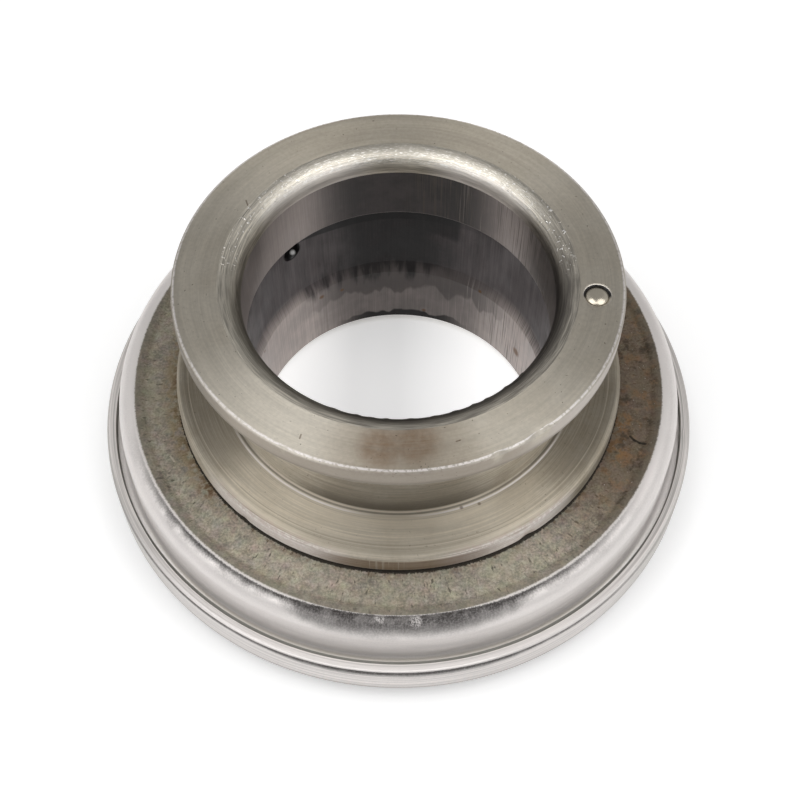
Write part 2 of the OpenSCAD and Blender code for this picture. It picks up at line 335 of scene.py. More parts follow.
def patch(surface, rows, columns):
    """Opens a rectangular patch: returns the surface without its quads, and the ring of points around it.

    The ring runs along the first row, down the last column, back along the last row and up the first column.
    """
    first_row, last_row = rows
    first_column, last_column = columns
    row, column = np.divmod(surface.quads[:, 0], surface.columns)
    inside = (row >= first_row) & (row < last_row) & (column >= first_column) & (column < last_column)
    grid_quads = np.arange(len(surface.quads)) < len(surface.rows) * surface.columns
    keep = ~(inside & grid_quads)
    across = np.arange(first_column, last_column)
    down = np.arange(first_row, last_row)
    ring = np.concatenate(
        [
            first_row * surface.columns + across,
            down * surface.columns + last_column,
            last_row * surface.columns + across[::-1] + 1,
            (down[::-1] + 1) * surface.columns + first_column,
        ]
    )
    return surface._replace(quads=surface.quads[keep], finish=surface.finish[keep]), ring


def add_ring(surface, points, like, worn=0.0, further=0.0):
    """Adds a ring of points, whose run is that of the points they stand for and the way further along it."""
    ring = np.arange(len(points)) + len(surface.points)
    added = surface._replace(
        points=np.vstack([surface.points, points]),
        run=np.concatenate([surface.run, surface.run[like] + further]),
        edge=np.concatenate([surface.edge, np.full(len(points), worn)]),
    )
    return added, ring


def add_quads(surface, quads, finish):
    """Adds quads of one finish."""
    return surface._replace(
        quads=np.vstack([surface.quads, quads]),
        finish=np.concatenate([surface.finish, np.full(len(quads), finish)]),
    )


def cap(ring):
    """Quads that close a ring, each between two points of one half and the two that face them."""
    half = len(ring) // 2
    near, far = ring[:half], ring[::-1][:half]
    return np.stack([near[:-1], near[1:], far[1:], far[:-1]], axis=-1)


def bridge(surface, rings, finish):
    """Joins each ring to the next with a band of quads."""
    pairs = zip(rings, rings[1:])
    bands = [np.stack([near, np.roll(near, -1), np.roll(far, -1), far], axis=-1) for near, far in pairs]
    return add_quads(surface, np.vstack(bands), finish)


def dent(surface, r, z, tall, marks):
    """Dents an edge at a radius and height. Each mark is an azimuth in degrees, a width and a depth in mm.

    Points move towards the axis, by the depth times a bell of that width along the edge and of the given
    height across it, and they sink by a share of that.
    """
    sink = 0.7
    for azimuth, wide, depth in marks:
        x, y, height = surface.points.T
        radius = np.hypot(x, y)
        turn = np.arctan2(y, x) - math.radians(azimuth)
        along = (np.mod(turn + math.pi, 2 * math.pi) - math.pi) * r
        across = (radius - r) ** 2 + (height - z) ** 2
        bell = depth * np.exp(-((along / wide) ** 2) - across / tall**2)
        scale = (radius - bell) / radius
        surface = surface._replace(points=np.column_stack([x * scale, y * scale, height - sink * bell]))
    return surface


def add_object(scene, name, data):
    """Puts an object into the scene."""
    added = bpy.data.objects.new(name, data)
    scene.collection.objects.link(added)
    return added


def make_piece(name, surface, materials, body, nodes):
    """Puts a surface into a mesh, with its UV map and attributes, hangs it on its body and hides the frame's
    nodes.
    """
    mesh = bpy.data.meshes.new(name)
    points, quads = surface.points * MM, surface.quads
    corners = points[quads]
    normals = np.cross(corners[:, 2] - corners[:, 0], corners[:, 3] - corners[:, 1])
    if (corners.mean(axis=1) * normals).sum() < 0.0:
        quads = quads[:, ::-1]
    mesh.vertices.add(len(points))
    mesh.vertices.foreach_set("co", points.ravel())
    mesh.loops.add(quads.size)
    mesh.loops.foreach_set("vertex_index", quads.ravel())
    mesh.polygons.add(len(quads))
    mesh.polygons.foreach_set("loop_start", np.arange(len(quads)) * 4)
    mesh.polygons.foreach_set("material_index", surface.finish.astype(np.int32))
    mesh.polygons.foreach_set("use_smooth", np.ones(len(quads), dtype=bool))
    turn = np.mod(np.arctan2(points[:, 1], points[:, 0]) / (2 * math.pi), 1.0)[quads]
    across_seam = np.ptp(turn, axis=1) > 0.5
    turn[across_seam] += turn[across_seam] < 0.5
    uv = np.stack([turn, surface.run[quads] / surface.run.max()], axis=-1)
    mesh.uv_layers.new(name="around").data.foreach_set("uv", uv.ravel())
    mesh.attributes.new("run", "FLOAT", "POINT").data.foreach_set("value", surface.run)
    mesh.attributes.new("edge", "FLOAT", "POINT").data.foreach_set("value", surface.edge)
    for material in materials:
        mesh.materials.append(material)
    mesh.update(calc_edges=True)
    if mesh.validate():
        raise RuntimeError(f"{name} has broken faces")
    piece = add_object(bpy.context.scene, name, mesh)
    piece.modifiers.new("flat faces stay flat", "WEIGHTED_NORMAL")
    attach(piece, body)
    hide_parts(*nodes)


def feed(tree, socket, value):
    """Sets a socket to a value, or links another socket to it."""
    if isinstance(value, bpy.types.NodeSocket):
        tree.links.new(value, socket)
    else:
        socket.default_value = value


def add_node(tree, kind, values=(), **settings):
    """Adds a node with its settings, and its inputs set or linked."""
    node = tree.nodes.new(kind)
    for key, value in settings.items():
        setattr(node, key, value)
    for key, value in dict(values).items():
        feed(tree, node.inputs[key], value)
    return node


def add_math(tree, operation, *values):
    """Adds one sum of numbers."""
    return add_node(tree, "ShaderNodeMath", dict(enumerate(values)), operation=operation).outputs[0]


def add_ramp(tree, value, low, high, bottom, top, kind="LINEAR"):
    """Adds a ramp from bottom to top, as value goes from low to high."""
    values = {"Value": value, "From Min": low, "From Max": high, "To Min": bottom, "To Max": top}
    return add_node(tree, "ShaderNodeMapRange", values, interpolation_type=kind).outputs[0]


def empty_tree(owner):
    """The node tree of a material or world, with nothing in it."""
    owner.use_nodes = True
    owner.node_tree.nodes.clear()
    return owner.node_tree


# Share of the width of a spot or line, and of a band or direction, that has its full strength
SPOT_CORE = 0.3
BAND_CORE = 0.4


class Finish:
    """Builds one material coat by coat, with a short call for each kind of node that the finishes use."""

    def __init__(self, name):
        self.material = bpy.data.materials.new(name)
        self.tree = empty_tree(self.material)
        self.base = None
        self.shader = self.node("ShaderNodeBsdfPrincipled")
        self.node("ShaderNodeOutputMaterial", {"Surface": self.shader.outputs["BSDF"]})
        self.place = self.vector("SCALE", self.node("ShaderNodeTexCoord").outputs["Object"], 1 / MM)
        self.x, self.y, self.z = self.node("ShaderNodeSeparateXYZ", {0: self.place}).outputs
        flat = self.node("ShaderNodeCombineXYZ", {0: self.x, 1: self.y}).outputs[0]
        self.r = self.vector("LENGTH", flat)
        self.around = self.vector("NORMALIZE", flat)

    def node(self, kind, values=(), **settings):
        """A node of this material."""
        return add_node(self.tree, kind, values, **settings)

    def math(self, operation, *values):
        """One sum of numbers."""
        return add_math(self.tree, operation, *values)

    def vector(self, operation, *values):
        """One sum of vectors, which gives a number for a length, a distance or a dot product."""
        slots = (0, 3) if operation == "SCALE" else (0, 1)
        node = self.node("ShaderNodeVectorMath", dict(zip(slots, values)), operation=operation)
        return node.outputs["Value" if operation in ("LENGTH", "DISTANCE", "DOT_PRODUCT") else "Vector"]

    def plus(self, first, second):
        """Two numbers added up."""
        return self.math("ADD", first, second)

    def less(self, first, second):
        """The first number less the second."""
        return self.math("SUBTRACT", first, second)

    def off(self, mask):
        """1 where a mask is 0."""
        return self.math("SUBTRACT", 1.0, mask)

    def either(self, first, second):
        """The larger of two masks."""
        return self.math("MAXIMUM", first, second)

    def both(self, first, *others):
        """The product of masks and shares."""
        for other in others:
            first = self.math("MULTIPLY", first, other)
        return first

    def wavy(self, value, noise, reach):
        """A value that noise moves to either side, by up to half the reach."""
        return self.plus(value, self.both(self.less(noise, 0.5), reach))

    def attribute(self, name):
        """One of the surface's own attributes."""
        return self.node("ShaderNodeAttribute", attribute_name=name).outputs["Fac"]

    def step(self, value, low, high, bottom=0.0, top=1.0):
        """A soft step from bottom to top, as value goes from low to high."""
        return add_ramp(self.tree, value, low, high, bottom, top, "SMOOTHSTEP")

    def noise(self, vector, scale, detail=2.0, roughness=0.5):
        """Soft noise about one half."""
        values = {"Vector": vector, "Scale": scale, "Detail": detail, "Roughness": roughness}
        return self.node("ShaderNodeTexNoise", values).outputs[0]

    def drawn(self, along, around, across, detail=2.0, roughness=0.5):
        """Noise for marks that follow the turning: slow around the axis, and fast as a value goes along."""
        turned = self.vector("SCALE", self.around, around)
        lifted = self.node("ShaderNodeCombineXYZ", {2: self.both(along, across)}).outputs[0]
        return self.noise(self.vector("ADD", turned, lifted), 1.0, detail, roughness)

    def mix(self, factor, first, second, blend="MIX"):
        """One colour laid over another."""
        values = {0: factor, 6: first, 7: second}
        return self.node("ShaderNodeMix", values, data_type="RGBA", blend_type=blend).outputs[2]

    def blend(self, factor, first, second):
        """A number between two others."""
        return self.node("ShaderNodeMix", {0: factor, 2: first, 3: second}, data_type="FLOAT").outputs[0]

    def spot(self, x, y, z, size):
        """1 at a place in mm, falling softly to 0 at its size."""
        return self.step(self.vector("DISTANCE", self.place, (x, y, z)), size, size * SPOT_CORE)

    def facing(self, azimuth, spread):
        """1 in a direction in degrees, falling softly to 0 at the spread to either side."""
        way = (math.cos(math.radians(azimuth)), math.sin(math.radians(azimuth)), 0.0)
        none, full = (math.cos(math.radians(angle)) for angle in (spread, spread * BAND_CORE))
        return self.step(self.vector("DOT_PRODUCT", self.around, way), none, full)

    def band(self, value, middle, half):
        """1 where a value is near its middle, falling softly to 0 at half a width to either side."""
        away = self.math("ABSOLUTE", self.less(value, middle))
        return self.step(away, half, half * BAND_CORE)

    def stroke(self, first, last, width):
        """1 along the line between two places in mm, falling softly to 0 at its width to either side."""
        first = np.array(first)
        way = np.array(last) - first
        from_first = self.vector("SUBTRACT", self.place, first.tolist())
        share = self.vector("DOT_PRODUCT", from_first, (way / (way @ way)).tolist())
        share = self.node("ShaderNodeClamp", {0: share}).outputs[0]
        away = self.vector("DISTANCE", from_first, self.vector("SCALE", way.tolist(), share))
        return self.step(away, width, width * SPOT_CORE)

    def lay(self, base, over, share, *masks):
        """A colour laid over the base at a share, where every mask is 1."""
        return self.mix(self.both(share, *masks), base, over)

    def coat(self, over, share, *masks):
        """Lays a colour over the material's base, at a share, where every mask is 1."""
        self.base = self.lay(self.base, over, share, *masks)

    def tone(self, factor, share=1.0):
        """Multiplies the material's base by a number or colour, at a share."""
        self.base = self.mix(share, self.base, factor, blend="MULTIPLY")

    def bump(self, height, depth):
        """Relief of the given depth in mm."""
        values = {"Height": height, "Distance": depth * MM, "Strength": 1.0}
        feed(self.tree, self.shader.inputs["Normal"], self.node("ShaderNodeBump", values).outputs[0])

    def turning_lines(self, strength):
        """Stretches highlights across the turning marks."""
        self.shader.inputs["Anisotropic"].default_value = strength
        self.shader.inputs["Anisotropic Rotation"].default_value = 0.25
        tangent = self.node("ShaderNodeTangent", direction_type="UV_MAP", uv_map="around")
        feed(self.tree, self.shader.inputs["Tangent"], tangent.outputs[0])

    def surface(self, roughness, metallic=1.0):
        """Sets the shader's colour, roughness and metal, and hands back the material."""
        for key, value in (("Base Color", self.base), ("Roughness", roughness), ("Metallic", metallic)):
            feed(self.tree, self.shader.inputs[key], value)
        return self.material


def rgba(value):
    """A colour property as a socket value."""
    return (*value, 1.0)


def shade(value, factor):
    """A colour property, lighter or darker by a factor."""
    return (*(min(1.0, part * factor) for part in value), 1.0)


def turned_finish(colours, mm):
    """Turned steel: lathe lines, an olive film in patches, stains, bright worn edges, painted highlights and
    painted shade.
    """
    f = Finish("turned steel")
    run = f.attribute("run")
    flange_z, groove_z, flange_r, neck_r = mm.flange_z, mm.groove_z, mm.flange_r, mm.neck_r
    fine = f.drawn(run, 3.5, 8.0, 2.0, 0.6)
    ridges = f.drawn(run, 1.7, 2.8)
    broad = f.drawn(run, 1.6, 0.9)
    patches = f.noise(f.place, 0.16, 4.0, 0.6)
    mottle = f.noise(f.place, 1.1, 3.0, 0.6)
    grain = f.noise(f.place, 2.4, 3.0, 0.6)
    # The flange
    flange = f.step(f.z, flange_z, flange_z + 0.5)
    groove = f.off(flange)
    f.base = f.mix(f.step(patches, 0.36, 0.66), rgba(colours.turned), rgba(colours.tarnish))
    f.coat(rgba(colours.flange), 0.55, flange)
    top = f.step(f.z, TOP_Z - 0.5, TOP_Z - 0.2)
    # Painted highlight: the front left of the flange's top is lighter
    f.coat(shade(colours.flange, 1.25), 0.5, top, f.facing(238.0, 36.0))
    f.coat(shade(colours.tarnish, 0.72), 0.45, flange, f.facing(90.0, 62.0))
    # The lathe lines over all of it
    lines = f.step(fine, 0.34, 0.66, f.blend(flange, 0.82, 0.95), f.blend(flange, 1.18, 1.05))
    steps = f.step(ridges, 0.34, 0.66, f.blend(flange, 0.93, 0.97), f.blend(flange, 1.07, 1.03))
    tones = f.both(lines, steps, f.step(broad, 0.3, 0.7, 0.95, 1.05), f.step(grain, 0.3, 0.7, 0.95, 1.04))
    f.tone(tones)
    dots = f.step(f.noise(f.place, 3.0, 1.0), 0.73, 0.79)
    f.coat(rgba(colours.dirt), 0.6, dots)
    # Stains on the flange's top, and its front made darker
    stain = f.either(f.spot(-1.7, -21.9, TOP_Z, 3.4), f.spot(1.6, -21.4, TOP_Z, 3.6))
    stain = f.both(stain, f.step(mottle, 0.2, 0.7, 0.6, 1.0), f.step(fine, 0.3, 0.6, 0.75, 1.0))
    f.tone((0.64, 0.53, 0.45, 1.0), stain)
    f.tone((0.80, 0.77, 0.74, 1.0), f.both(top, f.facing(271.0, 24.0)))
    # The flange's side: painted shade at the left, a painted highlight at the right back, darker towards its
    # bottom
    side = f.both(flange, f.step(f.r, flange_r - 0.12, flange_r - 0.02))
    f.coat((0.31, 0.265, 0.225, 1.0), 0.6, side)
    f.coat(shade(colours.tarnish, 0.3), 0.5, side, f.facing(198.0, 32.0))
    f.coat(rgba(colours.bright), 0.4, side, f.facing(336.0, 40.0))
    f.coat(shade(colours.tarnish, 0.35), 0.6, side, f.step(f.z, flange_z + 1.0, flange_z + 0.2))
    # The neck: painted shade at the front, deepest towards its foot
    neck = f.both(groove, f.step(f.r, neck_r + 1.0, neck_r + 0.5))
    f.coat(shade(colours.tarnish, 0.4), 0.45, neck, f.facing(-90.0, 32.0))
    foot = f.step(f.z, groove_z + 5.0, groove_z + 0.4)
    f.coat(shade(colours.tarnish, 0.2), 0.65, neck, foot, f.facing(-90.0, 44.0))
    # The groove's floor: painted light at the front near the neck, painted shade further out and at two
    # sides, and a painted highlight at the neck's foot
    ledge = f.both(groove, f.band(f.z, groove_z + 0.1, 0.4))
    f.coat(shade(colours.turned, 1.5), 0.3, ledge, f.facing(-100.0, 70.0))
    inner = f.step(f.r, neck_r + 3.0, neck_r + 1.0)
    f.coat(shade(colours.turned, 1.7), 0.5, ledge, inner, f.facing(-91.0, 40.0))
    outer = f.step(f.r, neck_r + 3.0, neck_r + 4.6)
    f.coat(shade(colours.tarnish, 0.55), 0.4, ledge, outer, f.facing(-91.0, 34.0))
    # The sides where painted highlights go
    highlight_sides = f.either(f.facing(234.0, 32.0), f.facing(304.0, 34.0))
    dim = f.either(f.facing(336.0, 26.0), f.facing(198.0, 26.0))
    f.coat(shade(colours.tarnish, 0.4), 0.45, ledge, dim)
    f.coat(rgba(colours.dirt), 0.6, groove, f.band(f.r, neck_r + 0.28, 0.14))
    f.coat(shade(colours.bright, 1.15), 0.85, ledge, highlight_sides, f.band(f.r, neck_r + 0.58, 0.15))
    for r, half, tone in ((0.95, 0.06, 0.6), (4.15, 0.07, 0.55), (4.32, 0.06, 1.6), (4.60, 0.06, 0.6)):
        f.coat(shade(colours.turned, tone), 0.35, ledge, f.band(f.r, neck_r + r, half))
    # The shoulder: painted highlights on its round and side, painted shade on the side at the right, rust and
    # chatter marks
    band = f.both(groove, f.step(f.r, SHOULDER_R - 0.45, SHOULDER_R - 0.2))
    band = f.both(band, f.step(fine, 0.36, 0.60, 0.25, 1.0))
    # The sides where painted highlights go
    highlight_sides = f.either(f.facing(237.0, 24.0), f.facing(299.0, 22.0))
    f.coat(shade(colours.bright, 1.1), 0.75, band, highlight_sides)
    pink = f.both(groove, f.step(f.r, SHOULDER_R - 0.9, SHOULDER_R - 0.3), highlight_sides, f.step(grain, 0.42, 0.56))
    f.coat((0.46, 0.36, 0.32, 1.0), 0.45, pink)
    shoulder_side = f.step(f.r, SHOULDER_R - 0.1, SHOULDER_R - 0.02)
    f.coat(shade(colours.tarnish, 0.3), 0.5, shoulder_side, f.facing(335.0, 34.0))
    f.coat(shade(colours.bright, 1.2), 0.4, shoulder_side, highlight_sides)
    f.coat(shade(colours.rust, 0.65), 0.6, shoulder_side, f.facing(272.0, 26.0))
    chatter = f.step(f.drawn(f.z, 170.0, 0.1, 1.0), 0.55, 0.68)
    f.coat(rgba(colours.turned), 0.5, shoulder_side, chatter, f.facing(266.5, 6.0))
    # Single marks, and the worn edges
    marks = [
        f.stroke((-17.35, 10.95, TOP_Z), (-17.0, 9.9, TOP_Z), 0.13),
        f.stroke((-9.85, -20.4, TOP_Z), (-9.97, -20.85, TOP_Z), 0.13),
        f.stroke((5.85, -21.2, TOP_Z), (6.25, -21.05, TOP_Z), 0.12),
        f.spot(7.0, -20.1, groove_z, 0.3),
        f.spot(9.0, -19.6, groove_z, 0.28),
    ]
    for mark in marks:
        f.coat(shade(colours.rust, 0.4), 0.6, mark)
    worn = f.both(f.attribute("edge"), f.step(f.z, TOP_Z - 0.17, TOP_Z - 0.09, 0.12, 0.9))
    f.coat(shade(colours.bright, 1.1), 1.0, worn, f.step(grain, 0.38, 0.52, 0.35, 1.0))
    f.bump(f.plus(fine, f.both(ridges, 0.5)), 0.005)
    f.turning_lines(0.9)
    return f.surface(f.step(fine, 0.25, 0.75, 0.46, 0.56), 0.85)


def mouth_finish(colours):
    """The round at the bore's mouth: broken lathe lines, bright flecks, a yellow film, old greasy smears,
    painted highlights and painted shade.
    """
    f = Finish("burnished mouth")
    run = f.attribute("run")
    lines = f.drawn(run, 7.0, 11.0, 3.0, 0.6)
    ridges = f.drawn(run, 2.0, 3.6)
    flecks = f.noise(f.place, 3.2, 1.0)
    f.base = f.mix(f.step(lines, 0.35, 0.65), shade(colours.mouth, 0.72), shade(colours.mouth, 1.20))
    f.tone(f.step(ridges, 0.35, 0.65, 0.76, 1.10))
    # Painted shade: the top of the round is darker at the back, so that its highlight sits lower
    f.coat(shade(colours.mouth, 0.55), 0.75, f.step(f.z, TOP_Z - 0.55, TOP_Z - 0.1), f.facing(86.0, 80.0))
    f.coat((0.30, 0.255, 0.165, 1.0), 0.35, f.step(f.z, TOP_Z - 0.6, TOP_Z - 2.3))
    # Painted highlights low on the round, to either side of the back
    peaks = f.either(f.facing(54.0, 28.0), f.facing(126.0, 30.0))
    f.coat(shade(colours.bright, 1.25), 0.45, peaks, f.step(f.z, TOP_Z - 0.4, TOP_Z - 0.9))
    # Near-white dashes along the turning at the back: bright marks, and partly a painted sparkle of the
    # highlight
    dashes = f.drawn(run, 34.0, 18.0, 1.0)
    shine = f.both(f.step(dashes, 0.57, 0.66), f.band(f.z, TOP_Z - 0.6, 0.75), f.facing(88.0, 76.0))
    f.coat((0.97, 0.96, 0.93, 1.0), 0.9, shine)
    right = f.both(f.step(f.z, TOP_Z - 0.8, TOP_Z - 0.2), f.facing(-42.0, 84.0))
    f.coat(shade(colours.grease, 6.0), 0.3, right, f.step(lines, 0.6, 0.4, 0.6, 1.0))
    f.coat(shade(colours.grease, 6.0), 0.6, f.step(f.z, TOP_Z - 0.5, TOP_Z - 1.6), f.facing(0.0, 46.0))
    # The front of the round faces away from the light: painted shade, partly an old greasy film
    front = f.both(f.step(f.z, TOP_Z + 0.1, TOP_Z - 0.5), f.step(ridges, 0.35, 0.65, 0.75, 1.0))
    f.coat(shade(colours.grease, 3.0), 0.9, front, f.facing(-50.0, 84.0))
    f.coat(shade(colours.tarnish, 0.22), 0.8, front, f.facing(-125.0, 75.0))
    upper = f.step(f.z, TOP_Z - 1.2, TOP_Z - 0.4)
    sides = f.either(f.facing(28.0, 30.0), f.facing(150.0, 32.0))
    glints = f.both(f.step(flecks, 0.64, 0.72), upper, sides)
    f.coat((0.95, 0.93, 0.90, 1.0), 0.9, glints)
    f.bump(f.plus(f.plus(lines, ridges), f.both(glints, 4.0)), 0.012)
    f.turning_lines(0.6)
    return f.surface(f.step(lines, 0.25, 0.75, 0.34, 0.48))


def bore_finish(colours, mm):
    """The bore: plain lands, scratches and rust dots, a greasy recess black at the back, painted shadows and
    a painted highlight.
    """
    f = Finish("greased bore")
    recess_z, recess_top_z = mm.recess_z, mm.recess_top_z
    streaks = f.drawn(f.z, 15.0, 0.16, 3.0, 0.55)
    hatch = f.drawn(f.z, 110.0, 0.12)
    clouds = f.drawn(f.z, 4.0, 0.22, 3.0, 0.55)
    apron = f.drawn(f.z, 6.0, 0.04)
    above = f.step(f.z, recess_top_z - 0.05, recess_top_z + 0.15)
    below = f.off(above)
    back = f.facing(86.0, 46.0)
    # The back of both lands is darker and less metallic
    dark_back = f.both(back, f.blend(above, 0.58, 0.92))
    # The lands
    land = f.mix(f.step(clouds, 0.35, 0.68), shade(colours.land, 0.9), shade(colours.land, 1.2))
    land = f.mix(1.0, land, f.step(hatch, 0.3, 0.7, 0.88, 1.11), blend="MULTIPLY")
    edge = f.wavy(f.z, apron, 9.0)
    land = f.lay(land, shade(colours.land, 0.36), 0.75, below, f.step(edge, 7.2, 7.9), f.facing(84.0, 56.0))
    land = f.lay(land, shade(colours.land, 0.5), 0.4, above)
    film = f.mix(f.step(clouds, 0.35, 0.65), shade(colours.grease, 1.2), shade(colours.grease, 3.4))
    f.base = f.mix(dark_back, land, film)
    f.coat(shade(colours.dirt, 1.6), 0.5, above, f.facing(70.0, 20.0), f.step(hatch, 0.48, 0.64))
    f.coat(shade(colours.dirt, 0.5), 0.6, above, f.facing(8.0, 28.0))
    f.coat(shade(colours.land, 1.1), 0.3, f.step(hatch, 0.58, 0.70), f.facing(40.0, 34.0))
    f.coat(shade(colours.dirt, 0.4), 0.55, f.step(hatch, 0.42, 0.33), f.facing(26.0, 28.0))
    # The recess
    left = f.facing(104.0, 36.0)
    level = f.plus(f.z, f.both(f.step(streaks, 0.34, 0.76, 0.0, 2.8), left))
    in_recess = f.both(f.step(level, recess_z - 0.4, recess_z + 2.5), below)
    smear = f.mix(f.step(streaks, 0.35, 0.70), shade(colours.grease, 9.5), shade(colours.grease, 6.0))
    black = f.mix(f.step(clouds, 0.4, 0.7), rgba(colours.grease), shade(colours.grease, 2.2))
    ends = f.wavy(f.x, clouds, 5.0)
    corner = f.step(f.z, recess_top_z - 5.5, recess_top_z - 3.5)
    patch_end = f.both(f.step(f.x, 8.2, 7.0), corner)
    patch_end = f.either(patch_end, f.step(ends, 9.5, 2.5))
    smear = f.mix(f.both(f.step(ends, -11.0, -4.5), patch_end, f.step(f.y, 0.0, 2.0)), smear, black)
    smear = f.mix(1.0, smear, f.step(hatch, 0.3, 0.7, 0.82, 1.18), blend="MULTIPLY")
    # Painted shadow: a dark band just under the recess's top edge
    lip = f.less(recess_top_z - 0.75, f.both(1.2, f.facing(92.0, 46.0)))
    edge_shadow = f.step(f.z, lip, f.plus(lip, 0.3))
    smear = f.lay(smear, shade(colours.grease, 0.4), 0.85, edge_shadow, f.facing(115.0, 60.0))
    drips = f.both(f.step(streaks, 0.44, 0.70), left, f.band(f.z, recess_z + 2.4, 3.6))
    smear = f.lay(smear, shade(colours.grease, 0.5), 0.4, drips)
    f.coat(smear, in_recess)
    # Painted highlight: a light line on the recess's top edge
    f.coat(shade(colours.land, 1.2), 0.3, f.attribute("edge"), f.step(f.z, recess_top_z - 0.5, recess_top_z))
    # Painted shadow at the foot, and single marks
    foot = f.plus(SPIGOT_END_Z + 0.9, f.both(f.step(apron, 0.35, 0.65), 0.9))
    foot_shadow = f.both(f.step(f.z, f.plus(foot, 0.4), foot), f.facing(88.0, 32.0))
    f.coat(shade(colours.grease, 0.3), 0.95, foot_shadow)
    dots = (
        (-9.9, 14.4, 9.3, 0.5),
        (-7.3, 15.8, 8.9, 0.4),
        (10.4, 14.0, 10.9, 0.35),
        (15.2, 8.6, 5.2, 0.9),
        (-16.7, 5.2, 10.2, 0.35),
        (3.4, 17.1, 2.9, 0.4),
    )
    for x, y, z, size in dots:
        f.coat(shade(colours.rust, 0.7), 0.8, f.spot(x, y, z, size))
    f.coat(shade(colours.rust, 0.3), 0.8, f.stroke((16.8, 4.7, 22.7), (17.1, 3.4, 22.2), 0.25))
    bare = f.both(f.off(dark_back), f.off(in_recess), 0.8)
    f.bump(f.plus(streaks, f.both(hatch, 0.6)), 0.01)
    f.turning_lines(0.7)
    f.shader.inputs["Specular IOR Level"].default_value = 0.25
    return f.surface(f.step(clouds, 0.3, 0.7, 0.32, 0.48), bare)


def hole_finish(colours, painted_glint):
    """The walls of both holes: near black, with a painted glint in one and a front painted lighter in the
    plug's.
    """
    f = Finish("oil hole")
    # Painted glint: a near-white spot in the oil hole, where light shows through it
    f.base = f.mix(f.spot(*painted_glint), shade(colours.grease, 0.5), (0.95, 0.94, 0.92, 1.0))
    # Painted light: the near wall of the plug's hole is lighter
    front = f.step(f.y, PLUG_MIDDLE[1] + 0.1, PLUG_MIDDLE[1] - 0.5)
    f.coat(shade(colours.turned, 0.7), 0.9, front, f.step(f.z, TOP_Z - 3.0, TOP_Z - 2.0))
    return f.surface(0.35, 0.0)


